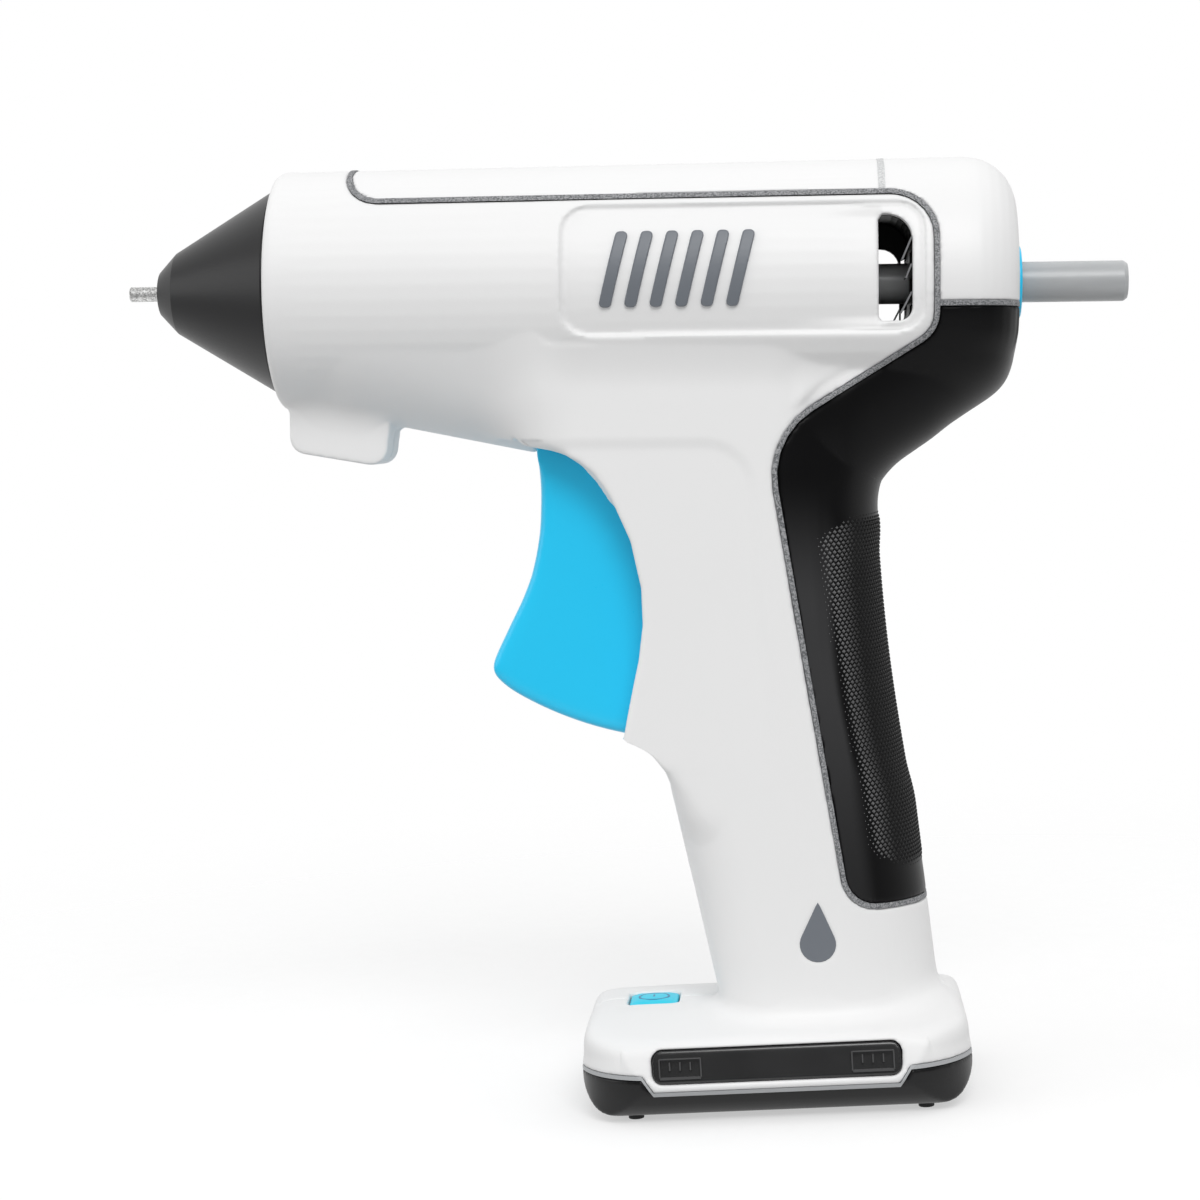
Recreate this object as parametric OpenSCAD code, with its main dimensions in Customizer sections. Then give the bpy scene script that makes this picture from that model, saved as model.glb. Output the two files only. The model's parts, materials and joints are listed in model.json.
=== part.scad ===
// Cordless hot glue gun for slim sticks, standing upright on its own base.
// X runs along the barrel with the nozzle towards -X, Y runs across it and Z is up.
// Barrel and handle are drawn with the barrel level, in the gun's own frame, and are then
// leaned back by tilt, so that the nose points up a little over the level base.
// The origin is on the table, below the middle of the whole gun.

/* [Barrel] */
// Angle at which the nose points up
tilt = 2.9; // [1.5:0.1:4]
// Height of the glue stick's axis over the table, before the lean
axis_z = 145.8; // [144:0.1:149]
// Radius of the barrel at its nose
barrel_r = 21.5; // [21:0.1:22.3]
// Growth of that radius from nose to tail, which is the draft of the moulding
barrel_draft = 0.8; // [0.2:0.1:1.2]
// Where the barrel's nose edge lies along X
nose_x = -89.4; // [-92:0.1:-88]
// Where the barrel's tail face lies along X
tail_x = 42.6; // [42:0.1:45]
// Radius of the round edge at the tail
tail_round = 9; // [7:0.5:10]
// Thickness of the covers, the trim and the rubber that lie on the shells
skin = 2; // [1.7:0.1:2.3]
// Wall of the shells
wall = 2.2; // [1.9:0.1:2.5]
// Width of the granular trim band round the covers
trim_w = 0.9; // [0.7:0.1:1.2]
// Gap left between covers that meet
seam_gap = 0.3; // [0.2:0.05:0.4]

/* [Nozzle] */
// Radius of the rubber cone where it meets the barrel
cone_r = 18.5; // [17.5:0.1:19.5]
// Length of the cone up to the ridge round its tip
cone_len = 19.1; // [17:0.1:21]
// Radius of that ridge
ridge_r = 7.4; // [7:0.1:8]
// Radius of the cone's front face
face_r = 3.9; // [3.4:0.1:4.5]
// Length of the bevel between ridge and front face
bevel_len = 3.3; // [2.5:0.1:4]
// Wall of the rubber cone
cone_wall = 2.4; // [2:0.1:2.8]
// Radius of the metal tip that stands out of the cone
tip_r = 1.35; // [1.2:0.05:1.6]
// Length of the metal tip that shows
tip_len = 5.7; // [4:0.1:8]
// Radius of the hole that the glue leaves by
orifice_r = 0.6; // [0.4:0.1:0.8]

/* [Heating] */
// Outer radius of the aluminium melt chamber
chamber_r = 7; // [6.5:0.1:7.4]
// Length of the melt chamber
chamber_len = 46; // [42:0.5:48]
// Length of the silicone sleeve that leads the stick into the chamber
inlet_len = 16; // [14:0.5:18]

/* [Glue stick] */
// Radius of the glue stick
stick_r = 3.6; // [3.4:0.05:3.8]
// Length of the glue stick
stick_len = 100; // [96:1:106]
// Length of the stick that stands out behind the tail
stick_out = 19.9; // [14:0.1:24]
// Radius of the blue ring that the stick goes in through
ring_r = 6.5; // [6.2:0.1:7]
// How far the ring stands out of the tail
ring_proud = 1.2; // [0.4:0.1:1.2]

/* [Trigger] */
// Width of the trigger
trigger_w = 17; // [15:0.5:18]
// Where the trigger's pivot lies along X
pivot_x = -15; // [-16:0.1:-14]
// Depth of the pivot under the stick's axis
pivot_drop = 17.8; // [17.2:0.1:18.4]
// Radius of the trigger's lower edge round its pivot
trigger_reach = 63.5; // [62.8:0.1:64]
// Angle that the trigger turns through when it is squeezed
trigger_swing = 12; // [8:1:13]
// Radius of the steel pivot pin
pin_r = 1.5; // [1.3:0.1:1.8]

/* [Handle] */
// Width of the handle
handle_w = 34.8; // [33.5:0.1:36]
// Where the handle's round back lies at the middle of its height
handle_back = 24.9; // [24.5:0.1:26]
// Angle at which the handle's back leans to the nose
back_lean = 7; // [6.5:0.1:7.5]
// Radius of the battery cell
cell_r = 9.1; // [8.9:0.1:9.2]
// Length of the battery cell
cell_len = 65; // [62:0.5:66]

/* [Base] */
// Length of the base
base_len = 69.8; // [68:0.1:74]
// Width of the base
base_w = 54; // [52:0.5:58]
// Radius of the base's corners, seen from above
base_corner = 15; // [12:0.5:18]
// Height of the base's crowned top
base_top = 18.2; // [17.8:0.1:19]
// Height of the seam over the tray along the base's sides
seam_low = 6.2; // [5.8:0.1:6.6]
// Height of that seam at the ends of the base
seam_high = 9.2; // [8.9:0.1:9.6]
// Thickness of the grey band in the seam
band_t = 0.7; // [0.5:0.1:0.9]
// Wall of the base and its tray
base_wall = 2; // [1.8:0.1:2.2]
// Radius of the base's long edges
base_edge = 4.5; // [4:0.1:5]
// Radius of the lower edge at the base's two ends
tray_edge = 6.5; // [4.5:0.1:7]
// Height of the feet
foot_h = 1; // [0.8:0.1:1.4]
// Radius of a foot
foot_r = 1.4; // [1.2:0.1:1.8]
// Length of the status window
window_len = 43.2; // [38:0.2:44]
// Height of the status window
window_h = 5.6; // [5:0.1:5.8]
// Length of the power button
button_len = 8.8; // [8.5:0.1:10]
// Width of the power button
button_w = 10; // [7:0.1:11]
// Travel of the power button
button_travel = 0.6; // [0.4:0.1:0.8]

/* [Fits] */
// Running clearance between a pin and its bore, on the radius
run_gap = 0.05; // [0.02:0.01:0.08]
// Clearance between a piece and the seat that it drops into
seat_gap = 0.1; // [0.05:0.05:0.15]
// Clearance between moving pieces that aren't a fit
free_gap = 0.4; // [0.3:0.05:0.5]

/* [Hidden] */
$fn = 64;

// Step of the arcs in rounded outlines, in degrees
arc_step = 15;
// Reach of a cutting block, further than the gun is wide
reach = 40;

pivot_z = axis_z - pivot_drop;
nose_round = 1.6;
mouth_front = -43.3;
mouth_top = axis_z - 29.5;
belly_r = 16;
belly_slope = 11.4;
neck_r = 16;
neck_slope = 34.3;
handle_r = handle_w / 2;
handle_mid_z = 50;
handle_depth = 35.5;
front_lean = 12.7;
front_face = -17.4;
front_round = 10;
lip_z = 60;

// The opening in the front of the barrel that the cone's spigot fills
front_bore_r = cone_r - 2.3;
cone_tip_x = nose_x - cone_len - bevel_len;
tip_x = cone_tip_x - tip_len;
chamber_front = nose_x - 9.5;
chamber_back = chamber_front + chamber_len;
chamber_bore = stick_r + 0.2;
inlet_front = chamber_back - 4;
inlet_back = inlet_front + inlet_len;
inlet_r = 5.6;
support_t = 3.4;
front_support_x = nose_x + 6;
rear_support_x = chamber_back - 5;
element_size = [14, 8, 3];
element_x = nose_x + 12;

stick_back = tail_x + stick_out;
stick_front = stick_back - stick_len;
ring_bore = stick_r + 0.5;
ring_in = 12;

carriage_len = 12;
carriage_r = 7.6;
carriage_bore = stick_r + 1.1;
trunnion_r = 2;
fork_w = 3;
fork_y = carriage_r + 1;
fork_out = fork_y + fork_w;
hub_r = 4.6;
trigger_back = pivot_x - 2.2;
fin_w = 2.4;
fin_top = 15.4;
feed = pivot_drop * tan(trigger_swing);
spring_r = 5.6;
spring_wire = 0.45;
spring_turns = 5;
spring_x = [inlet_back + spring_wire + 0.1, pivot_x - carriage_len / 2 - spring_wire - 0.1];

// The seam between the white shells and what lies above and behind them
seam_top = 14.4;
seam_front = -75.9;
seam_back = 27.5;
cap_seam_x = 18.6;
cap_seam_z = axis_z - 4.4;
recess_depth = 1;
window_x = [18, 23.8];
window_z = [axis_z - 7.2, axis_z + 11.2];
liner_x = [15.2, 29];
liner_half = 18;
web_y = [8.5, 10];
web_drop = 4.5;
web_lip = 1.3;
arch_r = 3.4;
liner_z = [axis_z - 8.6, axis_z + 12.4];
badge_t = 0.6;
mark_t = 0.5;

screw_r = 1.2;
screw_head_r = 2.4;
boss_r = 3.8;
tray_boss_r = 3;
SHELL_SCREWS = [
    [-69, pivot_z + 2.6], [-38.5, mouth_top + 8.1], [13, pivot_z + 4.2], [-8.4, 53], [-4.6, 28]
];
TRAY_SCREWS = [for (x = [14.9 - base_len / 2, base_len / 2 - 13.9], side = [-1, 1])
    [x, side * (base_w / 2 - 13)]];
FEET = [for (x = [9.7 - base_len / 2, base_len / 2 - 9], side = [-1, 1]) [x, side * (base_w / 2 - 8.5)]];

floor_z = foot_h + base_wall;
board_z = floor_z + 0.5;
board_t = 1.2;
board_top = board_z + board_t;
board_size = [base_len - 9.8, base_w - 10];
contact_t = 0.5;
cell_x = 12.4;
cell_z = board_top + contact_t;
window_mid_z = 10.4;
window_t = 1.6;
button_x = -22;
button_top = base_top - 0.9;
switch_size = [6, 6, 3.4];
switch_top = board_top + switch_size.z;
switch_rise = 0.5;
socket_size = [7.4, 9, 3.2];
socket_x = base_len / 2 - socket_size.x - 0.4;
lamp_w = 1.6;
lamp_pitch = 3;
lead_r = 0.9;
lead_y = barrel_r - skin - wall - lead_r - 3.1;
lead_low_y = handle_r - wall - lead_r - 2.2;

// The whole gun's ends along X after the lean, and the shift that centres it over the origin
low_end = tip_x * cos(tilt) + (axis_z - tip_r) * sin(tilt);
high_end = stick_back * cos(tilt) + (axis_z + stick_r) * sin(tilt);
shift_x = -(low_end + high_end) / 2;

// ---- Frames and outlines -------------------------------------------------------------

module leaned() translate([shift_x, 0, 0]) rotate([0, tilt, 0]) children();

module standing() translate([shift_x, 0, 0]) children();

// A flat shape in X and Z, given thickness from y0 to y1
module slab(y0 = -reach, y1 = reach) {
    translate([0, y1, 0]) rotate([90, 0, 0]) linear_extrude(y1 - y0) children();
}

// Turns a shape that stands on Z so that it lies along the barrel's axis
module along_axis(x = 0) translate([x, 0, axis_z]) rotate([0, 90, 0]) children();

module tube(x0, x1, r, bore) {
    along_axis(x0) difference() {
        cylinder(h = x1 - x0, r = r);
        translate([0, 0, -1]) cylinder(h = x1 - x0 + 2, r = bore);
    }
}

module across(x, z, r, y0, y1) {
    translate([x, y0, z]) rotate([-90, 0, 0]) cylinder(h = y1 - y0, r = r);
}

function unit(v) = v / norm(v);

function round_corner(a, b, c) = b[2] <= 0 ? [[b.x, b.y]] :
    let (u = unit([a.x - b.x, a.y - b.y]), v = unit([c.x - b.x, c.y - b.y]),
         half = acos(u * v) / 2,
         mid = [b.x, b.y] + unit(u + v) * b[2] / sin(half),
         from = [b.x, b.y] + u * b[2] / tan(half) - mid,
         to = [b.x, b.y] + v * b[2] / tan(half) - mid,
         turn = sign(from.x * to.y - from.y * to.x) * (180 - 2 * half),
         steps = max(1, ceil(abs(turn) / arc_step)))
    [for (i = [0 : steps]) let (s = turn * i / steps)
        mid + [from.x * cos(s) - from.y * sin(s), from.x * sin(s) + from.y * cos(s)]];

// An outline from corners, each given as x, z and the radius that rounds it
function outline(p) = [for (i = [0 : len(p) - 1])
    each round_corner(p[(i + len(p) - 1) % len(p)], p[i], p[(i + 1) % len(p)])];

// A rectangle with true round corners, centred on the origin
module rounded_rect(l, w, r) {
    square([l - 2 * r, w], center = true);
    square([l, w - 2 * r], center = true);
    for (x = [-1, 1], y = [-1, 1]) translate([x * (l / 2 - r), y * (w / 2 - r)]) circle(r);
}

// A round wire of n sides along a list of points; ref is never parallel to the wire
function ring(p, t, ref, r, n) =
    let (u = unit(cross(ref, t)), v = unit(cross(t, u)))
    [for (j = [0 : n - 1]) p + r * (cos(360 * j / n) * u + sin(360 * j / n) * v)];

module wire(path, r, ref, n = 8) {
    last = len(path) - 1;
    points = [for (i = [0 : last])
        each ring(path[i], path[min(i + 1, last)] - path[max(i - 1, 0)], ref, r, n)];
    sides = [for (i = [0 : last - 1], j = [0 : n - 1])
        let (a = i * n + j, b = i * n + (j + 1) % n) each [[a, b, b + n], [a, b + n, a + n]]];
    ends = [[for (j = [n - 1 : -1 : 0]) j], [for (j = [0 : n - 1]) last * n + j]];
    polyhedron(points, concat(sides, ends));
}

// ---- The gun's outer form, drawn k inside its surface ---------------------------------

module barrel(k) {
    back_r = barrel_r + barrel_draft - k;
    along_axis() rotate_extrude() polygon(outline([
        [0, nose_x + k, 0],
        [barrel_r - k, nose_x + k, nose_round],
        [back_r, tail_x - k, tail_round - k],
        [0, tail_x - k, 0]
    ]));
}

module belly(k) {
    drop = [sin(belly_slope), cos(belly_slope)] * belly_r;
    translate([mouth_front + drop.x, 0, mouth_top - 0.1 + drop.y]) rotate([0, 90 + belly_slope, 0]) {
        translate([0, 0, -60]) cylinder(h = 90, r = belly_r - k);
        translate([0, 0, 29.9]) cylinder(h = 20, r1 = belly_r - k, r2 = belly_r - 5 - k);
    }
}

module neck(k) {
    translate([5.1, 0, pivot_z - 6.1]) rotate([0, 90 - neck_slope, 0]) cylinder(h = 30, r = neck_r - k);
}

module handle(k) {
    r = handle_r - k;
    difference() {
        translate([0, 0, handle_mid_z]) rotate([0, -back_lean, 0])
            translate([handle_back - handle_r, 0, -40]) linear_extrude(pivot_z - 2) {
                circle(r);
                translate([-handle_depth, -r]) square([handle_depth, 2 * r]);
            }
        translate([-60, -reach, -10]) cube([130, 2 * reach, 21]);
    }
}

// The part of the handle that may stand below the lip, with its round front
module handle_front(k) {
    r = front_round - k;
    translate([0, 0, handle_mid_z]) rotate([0, -front_lean, 0])
        translate([front_face + k, 0, -45]) linear_extrude(60) {
            translate([r, -handle_r]) square([80, handle_w]);
            translate([0, r - handle_r + k]) square([r + 1, handle_w - 2 * (r + k)]);
            for (y = [-1, 1]) translate([r, y * (handle_r - k - r)]) circle(r);
        }
    translate([-60, -reach, lip_z]) cube([130, 2 * reach, axis_z]);
}

// Everything behind the gun's front edge, from the nose down round the mouth to the base
module front_clip(k) {
    offset(delta = -k) polygon(outline([
        [60, axis_z, 0],
        [nose_x + 0.8, axis_z, 0],
        [nose_x + 0.8, mouth_top - 20, 0],
        [mouth_front, mouth_top - 20, 0],
        [mouth_front, mouth_top + 0.8, 0],
        [-33.5, mouth_top + 0.2, 14],
        [-24.6, pivot_z - 27, 40],
        [-22.9, pivot_z - 42, 40],
        [-27.2, lip_z + 4.6, 0.6],
        [-24.8, lip_z + 2, 1.5],
        [-20, lip_z + 0.4, 3],
        [-17.6, 50, 12],
        [-10.4, 18.4, 0],
        [-10.4, 5, 0],
        [60, 5, 0]
    ]));
}

module trunk(k) {
    intersection() {
        slab() front_clip(k);
        union() {
            belly(k);
            neck(k);
            intersection() {
                handle(k);
                handle_front(k);
            }
        }
    }
}

// The hanging lug under the nose
module lug(k) {
    slab(-7 + k, 7 - k) offset(delta = -k) polygon(outline([
        [nose_x + 2.1, mouth_top + 12, 0],
        [nose_x + 2.1, mouth_top + 0.6, 3],
        [-70, mouth_top - 2.4, 3],
        [-68.4, mouth_top + 10, 0]
    ]));
}

module form(k) {
    barrel(k);
    trunk(k);
    if (k == 0) lug(0);
}

// ---- The seam and the regions that it parts -------------------------------------------

// Everything above and behind the seam, drawn k inside it
module seam_region(k) {
    offset(delta = -k) polygon(outline([
        [seam_front, axis_z + seam_top, 6.5],
        [seam_back, axis_z + seam_top + 0.3, 7.5],
        [seam_back, axis_z - 8.7, 5],
        [-1.95, axis_z - 26.7, 14],
        [12, 35.6, 6.5],
        [70, 35.6, 0],
        [70, 200, 0],
        [seam_front - 0.3, 200, 0]
    ]));
}

module cover_region() {
    intersection() {
        seam_region(trim_w);
        translate([-100, axis_z]) square([100 + cap_seam_x - seam_gap / 2, 60]);
    }
}

module cap_region() {
    intersection() {
        seam_region(trim_w);
        translate([cap_seam_x + seam_gap / 2, cap_seam_z + trim_w / 2]) square([60, 60]);
    }
}

module grip_region() {
    intersection() {
        seam_region(trim_w);
        translate([-20, 0]) square([90, cap_seam_z - trim_w / 2]);
    }
}

module trim_region() {
    difference() {
        seam_region(0);
        seam_region(trim_w);
    }
    translate([seam_back + trim_w / 2, cap_seam_z - trim_w / 2]) square([30, trim_w]);
}

// A layer on the shells, as thick as the skin, over one region
module layer(y0 = -reach, y1 = reach) {
    difference() {
        intersection() {
            form(0);
            slab(y0, y1) children();
        }
        form(skin);
        stick_hole();
    }
}

module stick_hole() along_axis(tail_x - 8) cylinder(h = 20, r = ring_r + seat_gap);

// ---- Cuts in the shells ---------------------------------------------------------------

module recess_outline() {
    polygon(outline([
        [-36.9, axis_z + 13.4, 4.5],
        [26, axis_z + 13.4, 4.5],
        [26, axis_z - 9.1, 4.5],
        [-36.9, axis_z - 9.1, 4.5]
    ]));
}

module window_outline(k = 0) {
    offset(delta = -k) polygon(outline([
        [window_x[0], window_z[1], 0.4],
        [window_x[1], window_z[1], 4.4],
        [window_x[1], window_z[0], 2.2],
        [window_x[0], window_z[0], 0.4]
    ]));
}

module cavity() {
    difference() {
        form(skin + wall);
        translate([nose_x - 5, -reach, 0]) cube([5 + wall, 2 * reach, 200]);
    }
    difference() {
        form(wall);
        slab() seam_region(-wall);
        slab() offset(delta = wall) recess_outline();
    }
}

// The slot that the trigger swings in
module mouth() {
    slab(-trigger_w / 2 - free_gap, trigger_w / 2 + free_gap) intersection() {
        translate([pivot_x, pivot_z]) circle(trigger_reach + free_gap);
        polygon([
            [mouth_front + wall / 4, mouth_top + 4.2], [mouth_front + wall / 4, 40],
            [-14, 40], [-14, mouth_top + 4.2]
        ]);
    }
}

module base_block(k) {
    intersection() {
        linear_extrude(reach) rounded_rect(base_len - 2 * k, base_w - 2 * k, base_corner - k);
        slab() polygon(outline([
            [-base_len / 2 + k, foot_h + k, tray_edge - k],
            [base_len / 2 - k, foot_h + k, tray_edge - k],
            [base_len / 2 - 0.9 - k, base_top - 0.6 - k, base_edge - 1 - k],
            [-base_len / 2 + 0.9 + k, base_top - 0.6 - k, base_edge - 1 - k]
        ]));
        translate([-base_len, 0, 0]) rotate([90, 0, 90]) linear_extrude(2 * base_len) polygon(outline([
            [-base_w / 2 + 2 + k, foot_h + k, base_edge - 1.5 - k],
            [-base_w / 2 + k, seam_low + 0.8, 1.5],
            [-base_w / 2 + 2.2 + k, base_top - 3.6 - k, base_edge - 1.5 - k],
            [0, base_top + 0.7 - k, 60],
            [base_w / 2 - 2.2 - k, base_top - 3.6 - k, base_edge - 1.5 - k],
            [base_w / 2 - k, seam_low + 0.8, 1.5],
            [base_w / 2 - 2 - k, foot_h + k, base_edge - 1.5 - k]
        ]));
    }
}

// Everything in the base over its seam, moved down by d
module over_seam(d = 0) {
    slab() translate([0, -d]) polygon([
        [-60, seam_high], [-23.4, seam_high], [-21.4, seam_low], [21.4, seam_low],
        [23.4, seam_high], [60, seam_high], [60, 60], [-60, 60]
    ]);
}

module base_hollow() {
    intersection() {
        base_block(base_wall);
        translate([-reach, -reach, 0]) cube([2 * reach, 2 * reach, base_top]);
    }
}

module button_well(k) {
    translate([button_x, 0, 0]) linear_extrude(reach) rounded_rect(button_len + 2 * k, button_w + 2 * k, 1.2);
}

module status_opening(side, k) {
    slab(side > 0 ? base_w / 2 - 5 : -base_w / 2 - 1, side > 0 ? base_w / 2 + 1 : 5 - base_w / 2)
        translate([0.2, window_mid_z]) rounded_rect(window_len + 2 * k, window_h + 2 * k, 1.8);
}

module screw_bosses() {
    intersection() {
        form(wall / 2);
        union() {
            for (p = SHELL_SCREWS) across(p.x, p.y, boss_r, -handle_w, handle_w);
            pin_bosses();
            for (side = [-1, 1]) fin_guide(side);
        }
    }
}

module pin_bosses() {
    for (y = [fork_out + free_gap, -fork_out - free_gap - 20]) across(pivot_x, pivot_z, 3.4, y, y + 20);
}

module fin_guide(side) {
    y = side > 0 ? fin_w / 2 + seat_gap : -fin_w / 2 - seat_gap - 2.4;
    translate([pivot_x - carriage_len / 2 - feed - 2, y, axis_z + carriage_r + 1.8])
        cube([carriage_len + feed + 4, 2.4, 14]);
}

module screw_cuts() {
    for (p = SHELL_SCREWS) {
        across(p.x, p.y, screw_r + 0.2, -0.1, reach);
        across(p.x, p.y, screw_head_r + 0.2, screw_seat(p), reach);
        across(p.x, p.y, screw_r, -9, 0);
    }
    across(pivot_x, pivot_z, pin_r + run_gap / 2, -fork_out - 5, fork_out + 5);
}

// Where a screw's head sits, measured from the seam between the shells
function screw_seat(p) = p.y > 100 ? 9 : 12;

module tray_bosses() {
    intersection() {
        base_block(base_wall / 2);
        union() for (p = TRAY_SCREWS) translate([p.x, p.y, board_top + 1.4])
            cylinder(h = reach, r = tray_boss_r);
    }
}

// Both shells as one, to be parted at the middle
module shells() {
    difference() {
        union() {
            leaned() difference() {
                form(0);
                cavity();
            }
            standing() difference() {
                intersection() {
                    base_block(0);
                    over_seam();
                }
                base_hollow();
            }
        }
        // The handle and the base are open to each other
        leaned() intersection() {
            form(skin + wall);
            translate([-60, -reach, 0]) cube([130, 2 * reach, 40]);
        }
    }
}

module half_shell(side) {
    difference() {
        intersection() {
            union() {
                shells();
                leaned() screw_bosses();
                standing() tray_bosses();
            }
            translate([-150, side > 0 ? 0 : -reach, 0]) cube([300, reach, 200]);
        }
        leaned() {
            // Room for the covers, the trim and the rubber, which lie on the shells
            difference() {
                slab() seam_region(0);
                form(skin);
            }
            mouth();
            screw_cuts();
            along_axis(tail_x - 8) cylinder(h = 20, r = ring_r - 1 + seat_gap);
            slab(side > 0 ? handle_r - mark_t : -handle_r - 1, side > 0 ? handle_r + 1 : mark_t - handle_r)
                drop_outline();
            along_axis(nose_x - 5) cylinder(h = 12, r = front_bore_r + seat_gap);
            slab(side > 0 ? 10 : -reach, side > 0 ? reach : -10) window_outline();
            difference() {
                slab(side > 0 ? 10 : -reach, side > 0 ? reach : -10) recess_outline();
                barrel(recess_depth);
            }
        }
        standing() {
            status_opening(side, seat_gap);
            button_well(0.25);
            for (p = TRAY_SCREWS) translate([p.x, p.y, 0]) cylinder(h = board_top + 7, r = screw_r);
        }
    }
}

// ---- Covers ---------------------------------------------------------------------------

module left_shell() {
    color("whitesmoke") half_shell(-1);
}

module right_shell() {
    color("whitesmoke") half_shell(1);
}

module top_cover() {
    color("white") leaned() layer() cover_region();
}

module rear_cap() {
    color("white") leaned() layer() cap_region();
}

module left_trim() {
    color("gray") leaned() layer(-reach, 0) trim_region();
}

module right_trim() {
    color("gray") leaned() layer(0, reach) trim_region();
}

module rear_grip() {
    color([0.08, 0.08, 0.08]) leaned() layer() grip_region();
}

module inlet_ring() {
    color("deepskyblue") leaned() difference() {
        union() {
            along_axis(tail_x - skin) cylinder(h = skin + ring_proud, r = ring_r);
            along_axis(tail_x - ring_in) cylinder(h = ring_in, r = ring_r - 1);
        }
        along_axis(tail_x - ring_in - 1) cylinder(h = ring_in + 3, r = ring_bore);
    }
}

// ---- Nozzle and heating ---------------------------------------------------------------

module nozzle_sleeve() {
    slope = (cone_r - ridge_r) / cone_len;
    color([0.12, 0.12, 0.12]) leaned() along_axis() rotate_extrude() polygon([
        [front_bore_r - cone_wall, nose_x + wall + 2],
        [front_bore_r + 1, nose_x + wall + 2],
        [front_bore_r + 1, nose_x + wall + seat_gap],
        [front_bore_r, nose_x + wall + seat_gap],
        [front_bore_r, nose_x],
        [cone_r, nose_x],
        [cone_r, nose_x - 0.6],
        [ridge_r, nose_x - cone_len],
        [face_r, cone_tip_x],
        [tip_r + seat_gap, cone_tip_x],
        [tip_r + seat_gap, cone_tip_x + 1.6],
        [ridge_r - 2.2, nose_x - cone_len + 0.6],
        [ridge_r - 2.2 + (cone_len - 2) * slope, nose_x - 1.4]
    ]);
}

module nozzle() {
    root = chamber_front - 4.5;
    color("silver") leaned() difference() {
        union() {
            along_axis() rotate_extrude() polygon([
                [0, tip_x], [tip_r - 0.15, tip_x], [tip_r, tip_x + 0.15], [tip_r, cone_tip_x + 1.8],
                [4.4, root - 0.8], [4.4, root], [0, root]
            ]);
            along_axis(root) cylinder(h = 4.5, r = 5.6, $fn = 6);
            along_axis(chamber_front) cylinder(h = 6, r = 3.2);
        }
        along_axis(tip_x - 1) cylinder(h = 40, r = orifice_r);
        along_axis(root) cylinder(h = 12, r = 2.2);
    }
}

module melt_chamber() {
    color("lightgray") leaned() difference() {
        union() {
            along_axis(chamber_front) cylinder(h = chamber_len, r = chamber_r);
            translate([element_x - 1.5, -6, axis_z]) cube([element_size.x + 3, 12, chamber_r + 4.5]);
        }
        along_axis(chamber_front - 1) cylinder(h = 7 + seat_gap, r = 3.2 + seat_gap / 2);
        along_axis(chamber_front + 5) cylinder(h = chamber_len, r = chamber_bore);
        translate([element_x - 3, -element_size.y / 2 - seat_gap, axis_z + chamber_r - 0.6])
            cube([element_size.x + 6, element_size.y + 2 * seat_gap, element_size.z + 2 * seat_gap]);
    }
}

module heating_element() {
    color("tan") leaned() translate([element_x, -element_size.y / 2, axis_z + chamber_r - 0.6 + seat_gap])
        cube(element_size);
}

module element_clip() {
    top = axis_z + chamber_r + 4.5;
    color("silver") leaned() translate([element_x + 6, 0, 0]) difference() {
        translate([0, -6.6, axis_z + 3]) cube([8, 13.2, top - axis_z - 2.4]);
        translate([-1, -6, axis_z]) cube([10, 12, top - axis_z]);
        along_axis(-1) cylinder(h = 10, r = chamber_r + 0.02);
    }
}

module thermal_cutout() {
    color("dimgray") leaned() {
        translate([element_x + 5, chamber_r + 2, axis_z - 2]) rotate([0, 90, 0]) cylinder(h = 10, r = 1.9);
    }
}

module support(x, r) {
    difference() {
        tube(x, x + support_t, r, chamber_r + seat_gap);
        for (a = [45 : 90 : 315]) along_axis(x - 1) rotate([0, 0, a]) translate([r - 4.6, 0, 0])
            cylinder(h = support_t + 2, r = 2.6);
    }
}

module front_support() {
    color("ivory") leaned() support(front_support_x, barrel_r - wall - 0.3);
}

module rear_support() {
    color("ivory") leaned() support(rear_support_x - support_t, barrel_r - skin - wall - 0.2);
}

module inlet_sleeve() {
    color("indianred") leaned() difference() {
        union() {
            along_axis(chamber_back) cylinder(h = inlet_back - chamber_back, r = inlet_r);
            along_axis(chamber_back) cylinder(h = 1.6, r = chamber_r + 1);
        }
        along_axis(inlet_front - 1) cylinder(h = inlet_len + 2, r = stick_r + 0.15);
    }
}

// ---- Feed -----------------------------------------------------------------------------

module return_spring() {
    rings = spring_turns * 14;
    color("silver") leaned() wire([for (i = [0 : rings])
        let (a = 360 * spring_turns * i / rings)
        [spring_x[0] + (spring_x[1] - spring_x[0]) * i / rings, spring_r * cos(a), axis_z + spring_r * sin(a)]
    ], spring_wire, [1, 0, 0], 6);
}

module carriage() {
    x = pivot_x - carriage_len / 2;
    color("dimgray") leaned() difference() {
        union() {
            along_axis(x) cylinder(h = carriage_len, r = carriage_r);
            across(pivot_x, axis_z, trunnion_r, -fork_out, fork_out);
            translate([x, -fin_w / 2, axis_z + 5]) cube([carriage_len, fin_w, fin_top - 5]);
        }
        along_axis(x + 1) cylinder(h = carriage_len, r = carriage_bore);
        along_axis(x - 1) cylinder(h = carriage_len, r = stick_r + 0.3);
    }
}

module gripper() {
    x = pivot_x - carriage_len / 2 + 1;
    color("silver") leaned() difference() {
        tube(x, x + carriage_len - 1, carriage_bore, stick_r + run_gap);
        for (a = [0, 90]) along_axis(x + 3) rotate([0, 0, a])
            translate([-10, -0.5, 0]) cube([20, 1, carriage_len]);
    }
}

function around_pivot(r, a) = [pivot_x + r * sin(a), pivot_z - r * cos(a)];

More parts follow.
